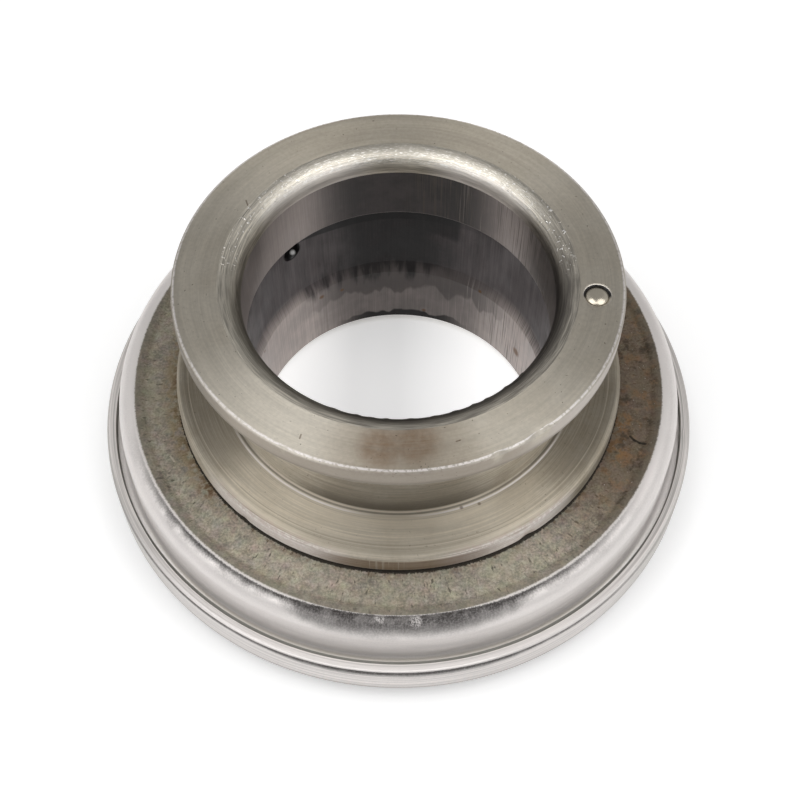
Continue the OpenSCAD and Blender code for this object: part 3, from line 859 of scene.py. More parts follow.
def roof_finish(colours, roof_z, hug_r, slope_r, crest_r):
    """The pressed roof: bare and dark grain, rust at the right, a brown stain, a dark line by the shoulder,
    and painted light and shade.

    The radii are those of the shoulder, along whose foot the roof is darker, of the foot of the bead and of
    its crest.
    """
    f = Finish("mottled roof")
    grain = f.noise(f.place, 3.8, 3.0, 0.65)
    mottle = f.noise(f.place, 1.1, 4.0, 0.6)
    blotch = f.noise(f.place, 0.28, 3.0, 0.6)
    tints = f.node("ShaderNodeTexNoise", {"Vector": f.place, "Scale": 0.9, "Detail": 4.0}).outputs["Color"]
    mixed = f.plus(f.both(grain, 0.40), f.both(mottle, 0.35))
    mixed = f.plus(mixed, f.both(blotch, 0.25))
    f.base = f.mix(f.step(mixed, 0.30, 0.70), rgba(colours.scale), rgba(colours.roof))
    f.base = f.mix(0.45, f.base, f.mix(0.32, (0.5, 0.5, 0.5, 1.0), tints), blend="OVERLAY")
    f.coat((0.28, 0.27, 0.19, 1.0), 0.35, f.step(blotch, 0.50, 0.64))
    specks = f.drawn(f.r, 90.0, 1.1)
    f.coat(rgba(colours.dirt), 0.75, f.step(specks, 0.58, 0.70), f.step(mottle, 0.40, 0.60))
    smudge = f.noise(f.place, 0.6, 4.0, 0.7)
    f.coat(shade(colours.scale, 0.8), 0.35, f.step(smudge, 0.48, 0.70))
    # Rust at the right, and stains
    right = f.facing(-3.0, 52.0)
    f.coat(shade(colours.rust, 0.5), 0.58, right)
    rust = f.noise(f.place, 0.55, 4.0, 0.65)
    flakes = f.both(f.step(rust, 0.50, 0.64), f.step(grain, 0.36, 0.6, 0.4, 1.0))
    f.coat(shade(colours.rust, 1.35), 0.5, right, flakes)
    f.coat(shade(colours.dirt, 0.7), 0.55, right, f.step(smudge, 0.52, 0.64))
    left = f.both(f.facing(190.0, 40.0), f.step(f.r, hug_r + 2.6, hug_r + 0.9))
    f.coat((0.27, 0.195, 0.095, 1.0), 0.6, left, f.step(mottle, 0.38, 0.55))
    ochre = f.either(f.spot(25.3, -10.7, roof_z, 2.4), f.spot(26.2, -7.0, roof_z, 2.2))
    f.coat((0.36, 0.19, 0.07, 1.0), 0.5, ochre, f.step(mottle, 0.42, 0.60))
    # Single marks
    flecks = f.step(f.noise(f.place, 4.2, 1.0), 0.74, 0.78)
    f.coat(rgba(colours.bright), 0.7, flecks, f.facing(-14.0, 44.0))
    # Painted shade on the bead's inner slope
    f.coat(shade(colours.scale, 1.1), 0.5, f.step(f.r, slope_r + 0.3, slope_r + 1.4))
    crack = ((27.3, -8.8, roof_z), (27.7, -9.3, roof_z), (28.3, -9.7, roof_z), (29.1, -9.9, roof_z))
    for first, last in zip(crack, crack[1:]):
        f.coat(shade(colours.dirt, 0.4), 0.9, f.stroke(first, last, 0.22))
    f.coat(rgba(colours.roof), 0.7, f.stroke((-26.6, -11.5, roof_z), (-26.1, -12.2, roof_z), 0.16))
    # Rust and a dark line by the shoulder, partly painted shade, and the painted highlight on the crest
    f.coat(shade(colours.rust, 0.45), 0.5, f.step(f.r, hug_r + 1.3, hug_r + 0.3), f.step(mottle, 0.46, 0.60))
    # The dark line along the shoulder's foot is partly painted shade, and wider at the front
    hug = f.wavy(f.r, grain, 0.5)
    hug_end = f.blend(f.facing(-90.0, 44.0), hug_r + 0.18, hug_r + 0.24)
    f.coat(shade(colours.dirt, 0.5), 0.95, f.step(hug, hug_end, hug_r + 0.05))
    f.coat(shade(colours.rust, 0.5), 0.7, f.spot(-22.0, -16.0, roof_z, 1.6), f.step(mottle, 0.4, 0.6))
    # Painted highlight on the bead's crest, left out at the front
    crest = f.both(f.step(f.r, crest_r - 0.26, crest_r - 0.10), f.step(grain, 0.36, 0.56, 0.3, 1.0))
    f.coat(shade(colours.bright, 1.15), 0.8, crest, f.off(f.facing(-91.0, 26.0)))
    f.bump(f.plus(grain, mottle), 0.015)
    f.turning_lines(0.8)
    return f.surface(f.step(grain, 0.3, 0.7, 0.66, 0.52), 0.6)


def bright_finish(
    colours, name, bend, dark_leans, crease, soil=99.0, glow=-1.0, dull=0.0, reflection_share=1.0, top=1.0, side=1.0
):
    """Bright rolled steel: a speckled painted dark reflection at the front over a bend, painted shade in the
    crease.

    The lean is the angle from the vertical about the bend's middle, a radius and height. The dark band's
    leans give where the band starts, and where it ends at the sides and at the front, and the reflection's
    share how dark it is. Crease gives the radii where its painted shade is thickest at the sides and at the
    front, and the way over which it fades in. Soil is the radius of a wall whose foot has a thin brown line
    at the front, and glow the height below which that wall is painted lighter, against the shade at its foot.
    Their defaults leave both out. Dull is the share of rolled lines, and of grey film at the left and right.
    Top and side make the faces above and beside the bend lighter or darker.
    """
    f = Finish(name)
    lines = f.drawn(f.z, 5.0, 2.0, 3.0)
    pits = f.noise(f.place, 5.0, 2.0, 0.7)
    hairs = f.drawn(f.z, 200.0, 3.0)
    lean = f.math("ARCTAN2", f.less(f.r, bend[0]), f.less(f.z, bend[1]))
    rough = f.plus(f.both(pits, 0.7), f.both(hairs, 0.3))
    ragged = f.wavy(lean, rough, 0.3)
    drift = f.less(f.noise(f.place, 0.45, 3.0), 0.5)
    # The dark band: a painted dark reflection at the front, ragged, speckled and broken up
    front = f.facing(-91.0, 70.0)
    start = f.blend(f.facing(-91.0, 24.0), dark_leans[0], dark_leans[0] - 0.08)
    middle = f.facing(-89.0, 27.0)
    full = f.plus(start, f.blend(middle, 0.04, 0.25))
    end = f.plus(f.blend(middle, dark_leans[1], dark_leans[2]), drift)
    end = f.either(end, f.plus(full, 0.25))
    dark_band = f.step(ragged, f.less(start, 0.05), f.plus(start, 0.06))
    dark_band = f.both(dark_band, f.step(ragged, end, full), f.facing(-98.0, 76.0))
    worn = f.step(f.noise(f.place, 0.7, 3.0), 0.35, 0.55, 0.88, 1.0)
    dark_band = f.both(dark_band, f.step(rough, 0.66, 0.42, 0.88, 1.0), worn)
    # The steel
    dark, pale = shade(colours.bright, 0.96 * side), shade(colours.bright, 1.03 * side)
    f.base = f.mix(f.step(lines, 0.3, 0.7), dark, pale)
    f.tone(f.step(pits, 0.3, 0.7, 0.96, 1.03))
    f.coat(shade(colours.bright, top), f.step(lean, 0.5, 0.1))
    rolled = f.drawn(f.attribute("run"), 1.5, 5.0)
    f.tone(f.step(rolled, 0.36, 0.64, 0.45, 1.45), f.step(front, 0.0, 1.0, dull, dull * 0.5))
    grey = f.either(f.facing(188.0, 42.0), f.facing(352.0, 42.0))
    film = f.both(f.step(lean, 0.3, 1.3, 0.35, 1.0), f.step(lines, 0.3, 0.7, 0.7, 1.0))
    f.coat((0.33, 0.32, 0.28, 1.0), dull, grey, film)
    # The foot of the wall: painted lighter above its fillet, against the shade there, and a thin brown line
    # at the front
    foot = f.step(f.r, soil + 0.1, soil)
    f.coat(shade(colours.bright, 1.3), 0.9, foot, f.step(f.z, glow + 1.2, glow))
    brown = f.both(f.step(f.r, soil + 0.1, soil + 0.35), f.step(f.r, soil + 0.72, soil + 0.45), front)
    f.coat((0.30, 0.26, 0.20, 1.0), 0.6, brown)
    # Wear, the painted dark reflection, painted shade in the crease and at the bottom edge, and pale patches
    f.coat(shade(colours.bright, 1.3), 0.5, f.attribute("edge"), f.step(lean, 0.1, -0.3))
    f.coat((0.026, 0.022, 0.021, 1.0), 0.99 * reflection_share, dark_band)
    patches = f.either(f.spot(-2.0, -32.1, 13.05, 0.8), f.spot(1.9, -32.45, 12.95, 1.0))
    f.coat(rgba(colours.bright), 0.5, patches, f.step(rough, 0.42, 0.58))
    # Painted shade in the crease
    seam_r = f.blend(front, crease[0], crease[1])
    f.coat((0.055, 0.058, 0.042, 1.0), 0.85, f.step(f.r, f.less(seam_r, crease[2]), seam_r))
    # Painted shadow along the rim's bottom edge
    f.coat((0.16, 0.13, 0.11, 1.0), 0.6, f.step(f.z, RIM_Z + 0.85, RIM_Z + 0.45))
    f.bump(pits, 0.003)
    return f.surface(f.step(lines, 0.3, 0.7, 0.46, 0.54), 0.6)


def plain_finish(name, base, roughness, metallic=1.0):
    """An even finish."""
    f = Finish(name)
    cloud = f.noise(f.place, 0.8, 3.0)
    tone = f.step(cloud, 0.3, 0.7, roughness * 0.85, roughness * 1.15)
    f.base = rgba(base)
    return f.surface(tone, metallic)


# The carrier's finishes, in the order of its materials
FACE, MOUTH, BORE, HOLE = range(4)

# Rows to each radius of the oil hole, and the half sizes in radii of the patches opened for it and the plug
HOLE_ROWS = 2
HOLE_PATCH = 1.7
PLUG_PATCH = 1.5

# Steps around the plug, and along the bend, its fillet and the raceway
PIN_COLUMNS = 96
BEND_STEPS = 16
FILLET_STEPS = 8
RACEWAY_STEPS = 14


class BEARING_OT_carrier(bpy.types.Operator):
    """Turns the carrier, with its bore, grease recess, fork groove, oil hole and plug hole"""

    bl_idname = "bearing.carrier"
    bl_label = "Carrier"

    def execute(self, context):
        scene = context.scene
        size = scene.bearing_carrier
        mm = lengths(size)
        surface = lathe(self.section(mm), scene.bearing_stage.columns)
        surface = self.oil_hole(surface, mm, size.oil_hole_azimuth)
        surface = self.plug_hole(surface, mm)
        surface = self.nicks(surface, mm)
        colours = scene.bearing_colours
        # Place and size of the painted glint in the oil hole
        painted_glint = (-12.9, 13.3, 19.6, 0.5)
        finishes = [
            turned_finish(colours, mm),
            mouth_finish(colours),
            bore_finish(colours, mm),
            hole_finish(colours, painted_glint),
        ]
        make_piece("turned_carrier", surface, finishes, "carrier_body", ["carrier"])
        return {"FINISHED"}

    def section(self, mm):
        """The half section, from the spigot's end outwards, up the outside and down the bore."""
        bore, chamfer, edge = mm.bore_r, mm.exit_chamfer, mm.edge_break
        recess_r = bore + mm.recess_depth
        flange_r, fillet = mm.flange_r, mm.neck_fillet
        hole_step = mm.oil_hole_r / HOLE_ROWS
        return [
            Corner(bore + chamfer, SPIGOT_END_Z, SMALL),
            Corner(mm.spigot_r - chamfer, SPIGOT_END_Z, SMALL),
            Corner(mm.spigot_r, SPIGOT_END_Z + chamfer, SMALL),
            Corner(mm.spigot_r, mm.seat_z, SMALL),
            Corner(mm.seat_r, mm.seat_z, SMALL),
            Corner(mm.seat_r, mm.shoulder_z, SMALL),
            Corner(SHOULDER_R - edge, mm.shoulder_z, SMALL),
            Corner(SHOULDER_R, mm.shoulder_z + edge, SMALL),
            Corner(SHOULDER_R, mm.groove_z, mm.shoulder_round),
            Corner(mm.neck_r, mm.groove_z, fillet, step=hole_step),
            Corner(mm.neck_r, mm.flange_z, fillet),
            Corner(flange_r - edge, mm.flange_z, SMALL),
            Corner(flange_r, mm.flange_z + edge, SMALL),
            Corner(flange_r, TOP_Z - edge, SMALL),
            Corner(flange_r - edge, TOP_Z, SMALL, step=hole_step),
            Corner(bore, TOP_Z, mm.entry_r, BORE, round_finish=MOUTH),
            Corner(bore, mm.recess_top_z, SMALL / 2, BORE),
            Corner(recess_r, mm.recess_top_z, SMALL / 2, BORE, hole_step),
            Corner(recess_r, mm.recess_z + mm.recess_taper, SMALL, BORE),
            Corner(bore, mm.recess_z, SMALL, BORE),
            Corner(bore, SPIGOT_END_Z + chamfer, SMALL, BORE),
        ]

    def hole_ring(self, azimuth, z, ring, surface, r, wall_r):
        """The circle where a radial hole of radius r meets a wall, with a point for each point of a ring.

        At an angle a about the hole's axis, it is r cos a to the side, r sin a up, and as far out as the wall
        is there: the root of the wall's radius squared less the way to the side squared.
        """
        out = np.array([math.cos(azimuth), math.sin(azimuth), 0.0])
        side = np.array([-math.sin(azimuth), math.cos(azimuth), 0.0])
        along = surface.points[ring] @ side
        up = surface.points[ring, 2] - z
        angle = np.arctan2(up / np.abs(up).max(), along / np.abs(along).max())
        across, lift = r * np.cos(angle), r * np.sin(angle)
        reach_out = np.sqrt(wall_r**2 - across**2)
        circle = np.outer(reach_out, out) + np.outer(across, side)
        circle[:, 2] = z + lift
        return circle

    def oil_hole(self, surface, mm, azimuth):
        """Opens a patch of the recess and of the neck, and joins them with the wall of a round hole.

        At each end, two circles on the wall and one just inside it give the hole's edge a small round.
        """
        r, z = mm.oil_hole_r, mm.oil_hole_z
        recess_r = mm.bore_r + mm.recess_depth
        columns = surface.columns
        middle = round(azimuth / (2 * math.pi) * columns)
        wide = math.ceil(HOLE_PATCH * r / recess_r / (2 * math.pi) * columns)
        tall = math.ceil(HOLE_PATCH * HOLE_ROWS)
        rings = []
        for wall_r in (recess_r, mm.neck_r):
            on_wall = np.abs(surface.rows[:, 0] - wall_r) < SAME
            row = int(np.argmin(np.where(on_wall, np.abs(surface.rows[:, 1] - z), np.inf)))
            surface, ring = patch(surface, (row - tall, row + tall), (middle - wide, middle + wide))
            way = -1.0 if wall_r == recess_r else 1.0
            group = [ring]
            for circle_r, depth in ((r + 2 * SMALL, 0.0), (r + SMALL, 0.0), (r, -way * SMALL)):
                circle = self.hole_ring(azimuth, z, ring, surface, circle_r, wall_r + depth)
                upward = circle[:, 2] - surface.points[ring, 2]
                surface, added = add_ring(surface, circle, ring, 0.0, way * upward)
                group.append(added)
            rings.append(group)
        inner, outer = rings
        facing = [np.roll(ring[::-1], -2 * tall) for ring in outer]
        surface = bridge(surface, inner[:3], BORE)
        surface = bridge(surface, inner[2:] + facing[:1:-1], HOLE)
        return bridge(surface, facing[2::-1], FACE)

    def plug_hole(self, surface, mm):
        """Opens a patch of the flange around the plug, and sinks a blind hole with a countersunk mouth.

        Its rings are circles about the plug's middle, with a point towards each point of the patch's edge.
        """
        radius = (PLUG_HIGH - PLUG_LOW)[:2].max() / 2
        columns = surface.columns
        circle_r = math.hypot(PLUG_MIDDLE[0], PLUG_MIDDLE[1])
        azimuth = math.atan2(PLUG_MIDDLE[1], PLUG_MIDDLE[0]) % (2 * math.pi)
        middle = round(azimuth / (2 * math.pi) * columns)
        wide = math.ceil(PLUG_PATCH * radius / circle_r / (2 * math.pi) * columns)
        on_top = np.abs(surface.rows[:, 1] - TOP_Z) < SAME
        lead_in = mm.plug_lead_in
        clear = radius + lead_in + 2.5 * SMALL
        row_r = surface.rows[:, 0]
        first_row = np.flatnonzero(on_top & (row_r > circle_r + clear)).max()
        last_row = np.flatnonzero(on_top & (row_r < circle_r - clear)).min()
        surface, ring = patch(surface, (first_row, last_row), (middle - wide, middle + wide))
        off = surface.points[ring, :2] - PLUG_MIDDLE[:2]
        angle = np.arctan2(off[:, 1], off[:, 0])
        facing = np.column_stack([np.cos(angle), np.sin(angle)])
        rings = [ring]
        levels = [
            (radius + lead_in + 2 * SMALL, TOP_Z, 0.0),
            (radius + lead_in + SMALL, TOP_Z, 0.0),
            (radius + lead_in, TOP_Z - SMALL / 2, 0.5),
            (radius + GAP, TOP_Z - lead_in, 0.0),
            (radius + GAP, PLUG_Z - GAP, 0.0),
        ]
        for r, z, worn in levels:
            circle = np.column_stack([PLUG_MIDDLE[:2] + r * facing, np.full(len(ring), z)])
            inward = np.hypot(*surface.points[ring, :2].T) - np.hypot(*circle[:, :2].T)
            surface, added = add_ring(surface, circle, ring, worn, inward)
            rings.append(added)
        surface = bridge(surface, rings[:4], FACE)
        surface = bridge(surface, rings[3:], HOLE)
        return add_quads(surface, cap(rings[-1]), FACE)

    def nicks(self, surface, mm):
        """Dents in the flange's upper and the shoulder's lower edge, and lumps on the bore's mouth."""
        flange_marks = ((-66.0, 0.7, 0.22), (-55.0, 1.0, 0.25), (-52.0, 0.4, 0.2), (-118.0, 0.5, 0.12))
        shoulder_marks = ((-57.0, 0.8, 0.3), (-131.0, 0.6, 0.15))
        mouth_marks = (
            (-112.0, 0.50, 0.14),
            (-104.0, 0.34, 0.18),
            (-99.0, 0.40, 0.12),
            (-94.0, 0.30, 0.20),
            (-86.0, 0.45, 0.16),
            (-78.0, 0.30, 0.12),
            (-71.0, 0.36, 0.18),
            (-64.0, 0.32, 0.20),
            (-59.0, 0.28, 0.14),
            (-51.0, 0.32, 0.14),
            (-43.0, 0.34, 0.16),
        )
        surface = dent(surface, mm.flange_r, TOP_Z, 0.6, flange_marks)
        surface = dent(surface, SHOULDER_R, mm.shoulder_z, 0.6, shoulder_marks)
        return dent(surface, mm.bore_r + 0.4, TOP_Z - 1.1, 0.5, mouth_marks)


class BEARING_OT_flange_plug(bpy.types.Operator):
    """Presses the domed plug into the flange"""

    bl_idname = "bearing.flange_plug"
    bl_label = "Flange plug"

    def execute(self, context):
        scene = context.scene
        radius = (PLUG_HIGH - PLUG_LOW)[0] / 2
        head = scene.bearing_carrier.plug_lead_in / MM + PLUG_TOP_Z - TOP_Z
        surface = self.pin(radius, head)
        finish = plain_finish("domed plug", scene.bearing_colours.turned, 0.24, 0.85)
        make_piece("domed_plug", surface, [finish], "carrier_body", ["flange_plug"])
        return {"FINISHED"}

    def pin(self, radius, head):
        """Rings about the plug's middle: flat below, straight at the side, and a dome head high above.

        The dome falls from its top with the cube of the radius. A cap closes the smallest ring at either end.
        """
        steps = np.linspace(0.0, 1.0, 12)
        dome = np.column_stack([radius * steps[::-1], PLUG_TOP_Z - head * steps[::-1] ** 3])
        foot = np.column_stack([radius * steps[1:], np.full(len(steps) - 1, PLUG_Z)])
        rows = np.vstack([foot, dome[:-1]])
        points, quads = turned_grid(rows, PIN_COLUMNS, PLUG_MIDDLE)
        rings = np.arange(len(points)).reshape(len(rows), PIN_COLUMNS)
        quads = np.vstack([quads[:-PIN_COLUMNS], cap(rings[0, ::-1]), cap(rings[-1])])
        row_gap = 0.2
        run = np.repeat(np.arange(len(rows)) * row_gap, PIN_COLUMNS)
        return Surface(points, quads, run, np.zeros(len(points)), np.zeros(len(quads)), rows, PIN_COLUMNS)


class BEARING_OT_shell(bpy.types.Operator):
    """Presses the shell over the ball set: mottled roof, bright bend and wall, seam flange"""

    bl_idname = "bearing.shell"
    bl_label = "Pressed shell"

    def execute(self, context):
        scene = context.scene
        mm = lengths(scene.bearing_shell)
        sheet, out_r = mm.sheet_t, mm.shell_out_r
        hole_r, in_r = mm.shell_hole_r, out_r - sheet
        lip_z = SHELL_SEAM_Z + sheet
        roof, wall, inside = range(3)
        bead_r, bead_z = out_r - mm.bend_r, SHELL_CREST_Z - mm.bend_r
        top_z = SHELL_CREST_Z - mm.bead_rise
        # The fillet lies on the roof and touches the bead, so its middle is both radii from the bead's
        fillet_z = top_z + mm.bead_fillet
        span = mm.bend_r + mm.bead_fillet
        fillet_r = bead_r - math.sqrt(span**2 - (fillet_z - bead_z) ** 2)
        lean = math.acos((fillet_z - bead_z) / span)
        bend, fillet = (bead_r, bead_z), (fillet_r, fillet_z)
        corners = [
            Corner(hole_r, top_z - sheet, SMALL, inside),
            *arc_corners(fillet, mm.bead_fillet + sheet, math.pi, math.pi - lean, FILLET_STEPS, inside)[:-1],
            *arc_corners(bend, mm.bend_r - sheet, -lean, math.pi / 2, BEND_STEPS, inside),
            Corner(in_r, SHELL_SEAM_Z, mm.foot_r + sheet, inside),
            Corner(SEAM_R, SHELL_SEAM_Z, SMALL, inside),
            Corner(SEAM_R, lip_z, SMALL, wall),
            Corner(out_r, lip_z, mm.foot_r, wall, 1.0),
            *arc_corners(bend, mm.bend_r, math.pi / 2, 0.0, BEND_STEPS, wall),
            *arc_corners(bend, mm.bend_r, 0.0, -lean, BEND_STEPS, roof)[1:],
            *arc_corners(fillet, mm.bead_fillet, math.pi - lean, math.pi, FILLET_STEPS, roof)[1:],
            Corner(hole_r + EDGE, top_z, SMALL, inside),
            Corner(hole_r, top_z - EDGE, SMALL, inside),
        ]
        surface = lathe(corners, scene.bearing_stage.columns)
        colours = scene.bearing_colours
        seam_r = SEAM_R - mm.upper_lip_w
        wall_finish = bright_finish(
            colours,
            "bright wall",
            bend=bend,
            # Leans of the painted dark reflection on the bend
            dark_leans=(0.06, 0.66, 1.75),
            crease=(seam_r - 0.04, seam_r - 0.43, 0.12),
            soil=out_r,
            glow=lip_z + mm.foot_r + 0.4,
            side=1.03,
        )
        inside_finish = plain_finish("shell inside", colours.roof, 0.5)
        finishes = [roof_finish(colours, top_z, SHOULDER_R, fillet_r, bead_r), wall_finish, inside_finish]
        make_piece("pressed_shell", surface, finishes, "rotor", ["bearing_shell"])
        return {"FINISHED"}


class BEARING_OT_clinch_ring(bpy.types.Operator):
    """Rolls the rim over the seam of the shell and the thrust race"""

    bl_idname = "bearing.clinch_ring"
    bl_label = "Rolled rim"

    def execute(self, context):
        scene = context.scene
        mm = lengths(scene.bearing_shell)
        thick, rounding = mm.clinch_t, mm.rim_round
        upper_r, lower_r = SEAM_R - mm.upper_lip_w, SEAM_R - mm.lower_lip_w
        corners = [
            Corner(lower_r, RIM_Z, SMALL),
            Corner(RIM_R, RIM_Z, rounding),
            Corner(RIM_R, RIM_TOP_Z, rounding),
            Corner(upper_r, RIM_TOP_Z, SMALL),
            Corner(upper_r, RIM_TOP_Z - thick, SMALL),
            Corner(SEAM_R, RIM_TOP_Z - thick, SMALL),
            Corner(SEAM_R, RIM_Z + thick, SMALL),
            Corner(lower_r, RIM_Z + thick, SMALL),
        ]
        surface = lathe(corners, scene.bearing_stage.columns)
        marks = ((172.0, 0.8, 0.15), (165.0, 0.5, 0.12), (-8.0, 0.7, 0.18))
        surface = dent(surface, upper_r, RIM_TOP_Z, 0.5, marks)
        finish = bright_finish(
            scene.bearing_colours,
            "rolled rim",
            bend=(RIM_R - rounding, RIM_TOP_Z - rounding),
            # Leans and share of the painted dark reflection on the rim's corner
            dark_leans=(0.80, 1.9, 2.9),
            crease=(upper_r + 0.02, upper_r + 0.03, -0.1),
            dull=0.5,
            reflection_share=0.92,
            top=0.86,
            side=0.94,
        )
        make_piece("rolled_rim", surface, [finish], "rotor", ["clinch_ring"])
        return {"FINISHED"}


class BEARING_OT_thrust_race(bpy.types.Operator):
    """Grinds the thrust race, with its contact face, seam flange and raceway"""

    bl_idname = "bearing.thrust_race"
    bl_label = "Thrust race"

    def execute(self, context):
        scene = context.scene
        mm = lengths(scene.bearing_shell)
        pitch, ball_z, raceway = mm.pitch_r, mm.ball_z, mm.raceway_r
        lip_r, floor_z = mm.outer_lip_r, mm.race_floor_z
        # The raceway is an arc about the ball's middle, from beside it to the angle where it reaches the lip
        start = math.asin((lip_r - pitch) / raceway)
        groove = arc_corners((pitch, ball_z), raceway, math.pi / 2, math.pi - start, RACEWAY_STEPS)
        wall_r, seam_z = mm.race_wall_r, RIM_Z + mm.clinch_t
        corners = [
            Corner(mm.face_in_r + EDGE, FACE_Z, SMALL, step=1.2),
            Corner(wall_r, FACE_Z, mm.face_round),
            Corner(wall_r, seam_z, SMALL),
            Corner(SEAM_R, seam_z, SMALL),
            Corner(SEAM_R, SHELL_SEAM_Z, SMALL),
            Corner(wall_r, SHELL_SEAM_Z, SMALL),
            Corner(wall_r, RACE_WALL_Z, SMALL),
            Corner(mm.relief_r + EDGE, RACE_WALL_Z, SMALL),
            Corner(mm.relief_r, RACE_WALL_Z - EDGE, SMALL),
            Corner(mm.relief_r, ball_z, SMALL),
            *groove,
            Corner(lip_r, floor_z, SMALL),
            Corner(SEAL_R, floor_z, SMALL),
            Corner(SEAL_R, SEAL_Z, SMALL),
            Corner(mm.face_in_r, SEAL_Z, SMALL),
            Corner(mm.face_in_r, FACE_Z + EDGE, SMALL),
        ]
        surface = lathe(corners, scene.bearing_stage.columns)
        finish = self.ground_finish(scene.bearing_colours)
        make_piece("ground_race", surface, [finish], "rotor", ["thrust_race"])
        return {"FINISHED"}

    def ground_finish(self, colours):
        """Ground steel with fine rings, and a polished track where the clutch fingers ran."""
        f = Finish("ground race")
        rings = f.drawn(f.attribute("run"), 1.2, 6.0, 3.0)
        f.base = f.mix(f.step(rings, 0.3, 0.7), shade(colours.race, 0.82), rgba(colours.race))
        track = f.both(f.step(f.r, 24.6, 25.6), f.step(f.r, 29.2, 28.2), f.step(f.z, 0.2, 0.1))
        f.coat(rgba(colours.ball), 0.6, track)
        roughness = f.step(track, 0.0, 1.0, 0.36, 0.18)
        f.bump(rings, 0.006)
        f.turning_lines(0.5)
        return f.surface(roughness)


class BEARING_OT_face_seal(bpy.types.Operator):
    """Moulds the face seal"""

    bl_idname = "bearing.face_seal"
    bl_label = "Face seal"

    def execute(self, context):
        scene = context.scene
        in_r = scene.bearing_shell.seal_in_r / MM
        bevel = (SEAL_TOP_Z - SEAL_Z) / 3
        corners = [
            Corner(in_r + bevel, SEAL_Z, SMALL),
            Corner(SEAL_R, SEAL_Z, SMALL),
            Corner(SEAL_R, SEAL_TOP_Z, SMALL),
            Corner(in_r + bevel, SEAL_TOP_Z, SMALL),
            Corner(in_r, SEAL_TOP_Z - bevel, SMALL),
            Corner(in_r, SEAL_Z + bevel, SMALL),
        ]
        surface = lathe(corners, scene.bearing_stage.columns // 2)
        finish = plain_finish("seal rubber", scene.bearing_colours.rubber, 0.6, 0.0)
        make_piece("moulded_seal", surface, [finish], "rotor", ["face_seal"])
        return {"FINISHED"}


class BEARING_OT_ball_set(bpy.types.Operator):
    """Finishes the hidden ball set: inner race, cage and balls"""

    bl_idname = "bearing.ball_set"
    bl_label = "Ball set"

    def execute(self, context):
        colours = context.scene.bearing_colours
        race = plain_finish("inner race", colours.race, 0.25)
        cage = plain_finish("pressed cage", colours.cage, 0.4)
        ball = plain_finish("polished ball", colours.ball, 0.08)
        for name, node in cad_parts.items():
            finish = ball if name.startswith("ball_") else None
            finish = {"inner_race": race, "ball_cage": cage}.get(name, finish)
            if finish is not None:
                node.data.materials.clear()
                node.data.materials.append(finish)
        return {"FINISHED"}


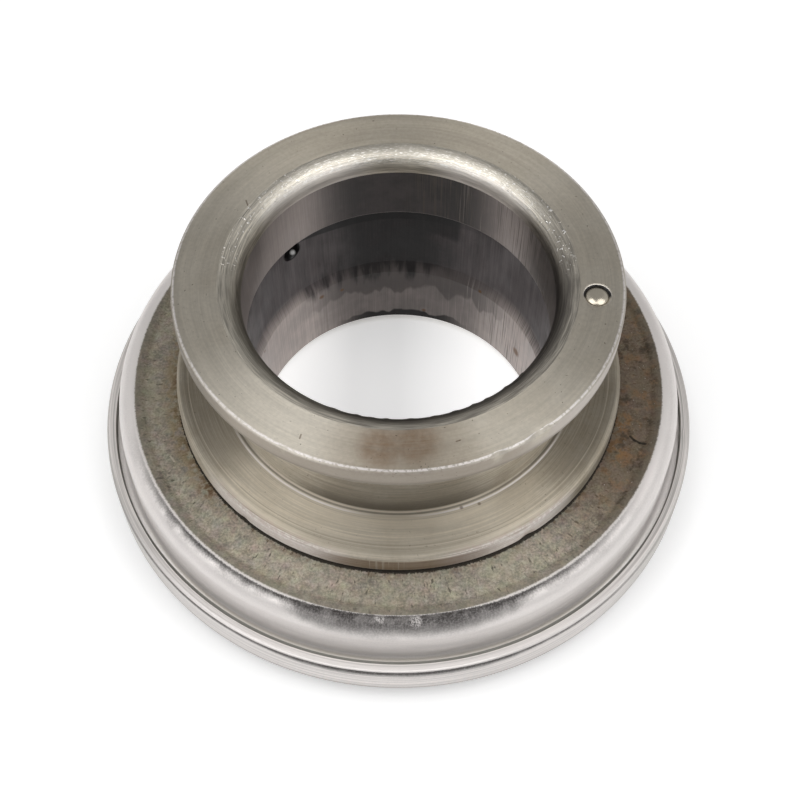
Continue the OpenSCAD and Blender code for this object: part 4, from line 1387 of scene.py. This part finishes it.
class BEARING_OT_stage(bpy.types.Operator):
    """Sets the pale floor, the soft light and the camera"""

    bl_idname = "bearing.stage"
    bl_label = "Stage"

    def execute(self, context):
        scene = context.scene
        stage = scene.bearing_stage
        scene.view_settings.view_transform = "Standard"
        self.floor(scene, stage)
        self.camera(scene, stage)
        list(self.lamps(scene))
        self.world(scene)
        return {"FINISHED"}

    def floor(self, scene, stage):
        """A wide square just under the contact face."""
        half = 2.0
        mesh = bpy.data.meshes.new("floor")
        corners = np.array([(-1, -1, 0), (1, -1, 0), (1, 1, 0), (-1, 1, 0)]) * half
        corners[:, 2] = -GAP * MM
        mesh.from_pydata(corners.tolist(), [], [(0, 1, 2, 3)])
        mesh.materials.append(self.paper(stage))
        return add_object(scene, "floor", mesh)

    def paper(self, stage):
        """White paper that keeps the bearing's shadow.

        To the camera and in reflections it also glows. The glow rises from a share near the bearing to white
        far away, and inside the bore, left and right of a strip, it is stronger: painted light where light
        falls through.
        """
        material = bpy.data.materials.new("pale floor")
        tree = empty_tree(material)
        path = add_node(tree, "ShaderNodeLightPath").outputs
        seen = add_math(tree, "MAXIMUM", path["Is Camera Ray"], path["Is Glossy Ray"])
        place = add_node(tree, "ShaderNodeTexCoord").outputs["Object"]
        away = add_node(tree, "ShaderNodeVectorMath", {0: place}, operation="LENGTH").outputs["Value"]
        white = add_ramp(tree, away, low=0.10, high=0.45, bottom=0.33, top=1.0)
        x = add_node(tree, "ShaderNodeSeparateXYZ", {0: place}).outputs["X"]
        # Painted light on the floor inside the bore, left and right of a strip
        strip_x = -0.003
        sideways = add_math(tree, "ABSOLUTE", add_math(tree, "SUBTRACT", x, strip_x))
        through = add_ramp(tree, sideways, low=0.003, high=0.014, bottom=0.0, top=0.30)
        inside = add_ramp(tree, away, low=0.018, high=0.024, bottom=1.0, top=0.0)
        share = add_math(tree, "MULTIPLY", seen, add_math(tree, "MULTIPLY_ADD", through, inside, white))
        glow = add_node(tree, "ShaderNodeEmission", {"Color": WHITE, "Strength": share})
        paper = add_node(tree, "ShaderNodeBsdfDiffuse", {"Color": rgba(stage.floor)})
        both = add_node(tree, "ShaderNodeAddShader", {0: paper.outputs[0], 1: glow.outputs[0]})
        add_node(tree, "ShaderNodeOutputMaterial", {"Surface": both.outputs[0]})
        return material

    def camera(self, scene, stage):
        """The camera in front of the bearing, looking down on it."""
        data = bpy.data.cameras.new("camera")
        data.sensor_width = 36.0
        data.lens = stage.lens
        data.shift_x = stage.shift_x
        data.clip_start = 0.005
        camera = add_object(scene, "camera", data)
        camera.location = (0.0, -stage.camera_back, TOP_Z * MM + stage.camera_up)
        camera.rotation_euler = (math.pi / 2 - stage.camera_pitch, 0.0, 0.0)
        scene.camera = camera
        return camera

    def lamps(self, scene):
        """Soft lamps: name, place, size and power, each turned towards the bearing."""
        kinds = [
            ("left lamp", (-0.200, -0.088, 0.425), 0.36, 0.94),
            ("right lamp", (0.200, -0.088, 0.425), 0.36, 0.87),
        ]
        target = np.array([0.0, 0.0, 0.015])
        lamps = []
        for name, place, size, power in kinds:
            data = bpy.data.lights.new(name, "AREA")
            data.shape = "SQUARE"
            data.size = size
            data.energy = power
            lamp = add_object(scene, name, data)
            aim = target - np.array(place)
            flat = math.hypot(aim[0], aim[1])
            lamp.location = place
            lamp.rotation_euler = (math.atan2(flat, -aim[2]), 0.0, math.atan2(aim[1], aim[0]) - math.pi / 2)
            lamps.append(lamp)
        return lamps

    def world(self, scene):
        """A soft room: bright at both sides, dimmer ahead and behind, and white where the camera sees it."""
        world = bpy.data.worlds.new("soft room")
        scene.world = world
        tree = empty_tree(world)
        place = add_node(tree, "ShaderNodeTexCoord").outputs["Generated"]
        x = add_node(tree, "ShaderNodeSeparateXYZ", {0: place}).outputs["X"]
        aside = add_math(tree, "ABSOLUTE", x)
        strength = add_ramp(tree, aside, low=0.30, high=0.75, bottom=0.40, top=0.64, kind="SMOOTHSTEP")
        room = add_node(tree, "ShaderNodeBackground", {"Strength": strength})
        white = add_node(tree, "ShaderNodeBackground", {"Color": WHITE})
        seen = add_node(tree, "ShaderNodeLightPath").outputs["Is Camera Ray"]
        mix = add_node(tree, "ShaderNodeMixShader", {0: seen, 1: room.outputs[0], 2: white.outputs[0]})
        add_node(tree, "ShaderNodeOutputWorld", {"Surface": mix.outputs[0]})


OPERATORS = [
    BEARING_OT_stage,
    BEARING_OT_carrier,
    BEARING_OT_flange_plug,
    BEARING_OT_shell,
    BEARING_OT_clinch_ring,
    BEARING_OT_thrust_race,
    BEARING_OT_face_seal,
    BEARING_OT_ball_set,
]


class BEARING_PT_panel(bpy.types.Panel):
    """Lists the bearing's pieces in the sidebar"""

    bl_idname = "BEARING_PT_panel"
    bl_label = "Clutch release bearing"
    bl_space_type = "VIEW_3D"
    bl_region_type = "UI"
    bl_category = "Bearing"

    def draw(self, context):
        for operator in OPERATORS:
            self.layout.operator(operator.bl_idname)
        for group in SETTINGS:
            box = self.layout.box()
            settings = getattr(context.scene, group)
            for key in type(settings).__annotations__:
                box.prop(settings, key)


SETTINGS = {
    "bearing_carrier": CarrierSizes,
    "bearing_shell": ShellSizes,
    "bearing_colours": FinishColours,
    "bearing_stage": StageSettings,
}
CLASSES = [*SETTINGS.values(), *OPERATORS, BEARING_PT_panel]


def register():
    """Registers the classes, and hangs their settings on the scene."""
    for cls in CLASSES:
        bpy.utils.register_class(cls)
    for name, group in SETTINGS.items():
        setattr(bpy.types.Scene, name, PointerProperty(type=group))


def unregister():
    """Takes the settings and classes away again."""
    for name in SETTINGS:
        delattr(bpy.types.Scene, name)
    for cls in reversed(CLASSES):
        bpy.utils.unregister_class(cls)


def main():
    register()
    bpy.ops.bearing.stage()
    bpy.ops.bearing.carrier()
    bpy.ops.bearing.flange_plug()
    bpy.ops.bearing.shell()
    bpy.ops.bearing.clinch_ring()
    bpy.ops.bearing.thrust_race()
    bpy.ops.bearing.face_seal()
    bpy.ops.bearing.ball_set()


if __name__ == "__main__":
    main()
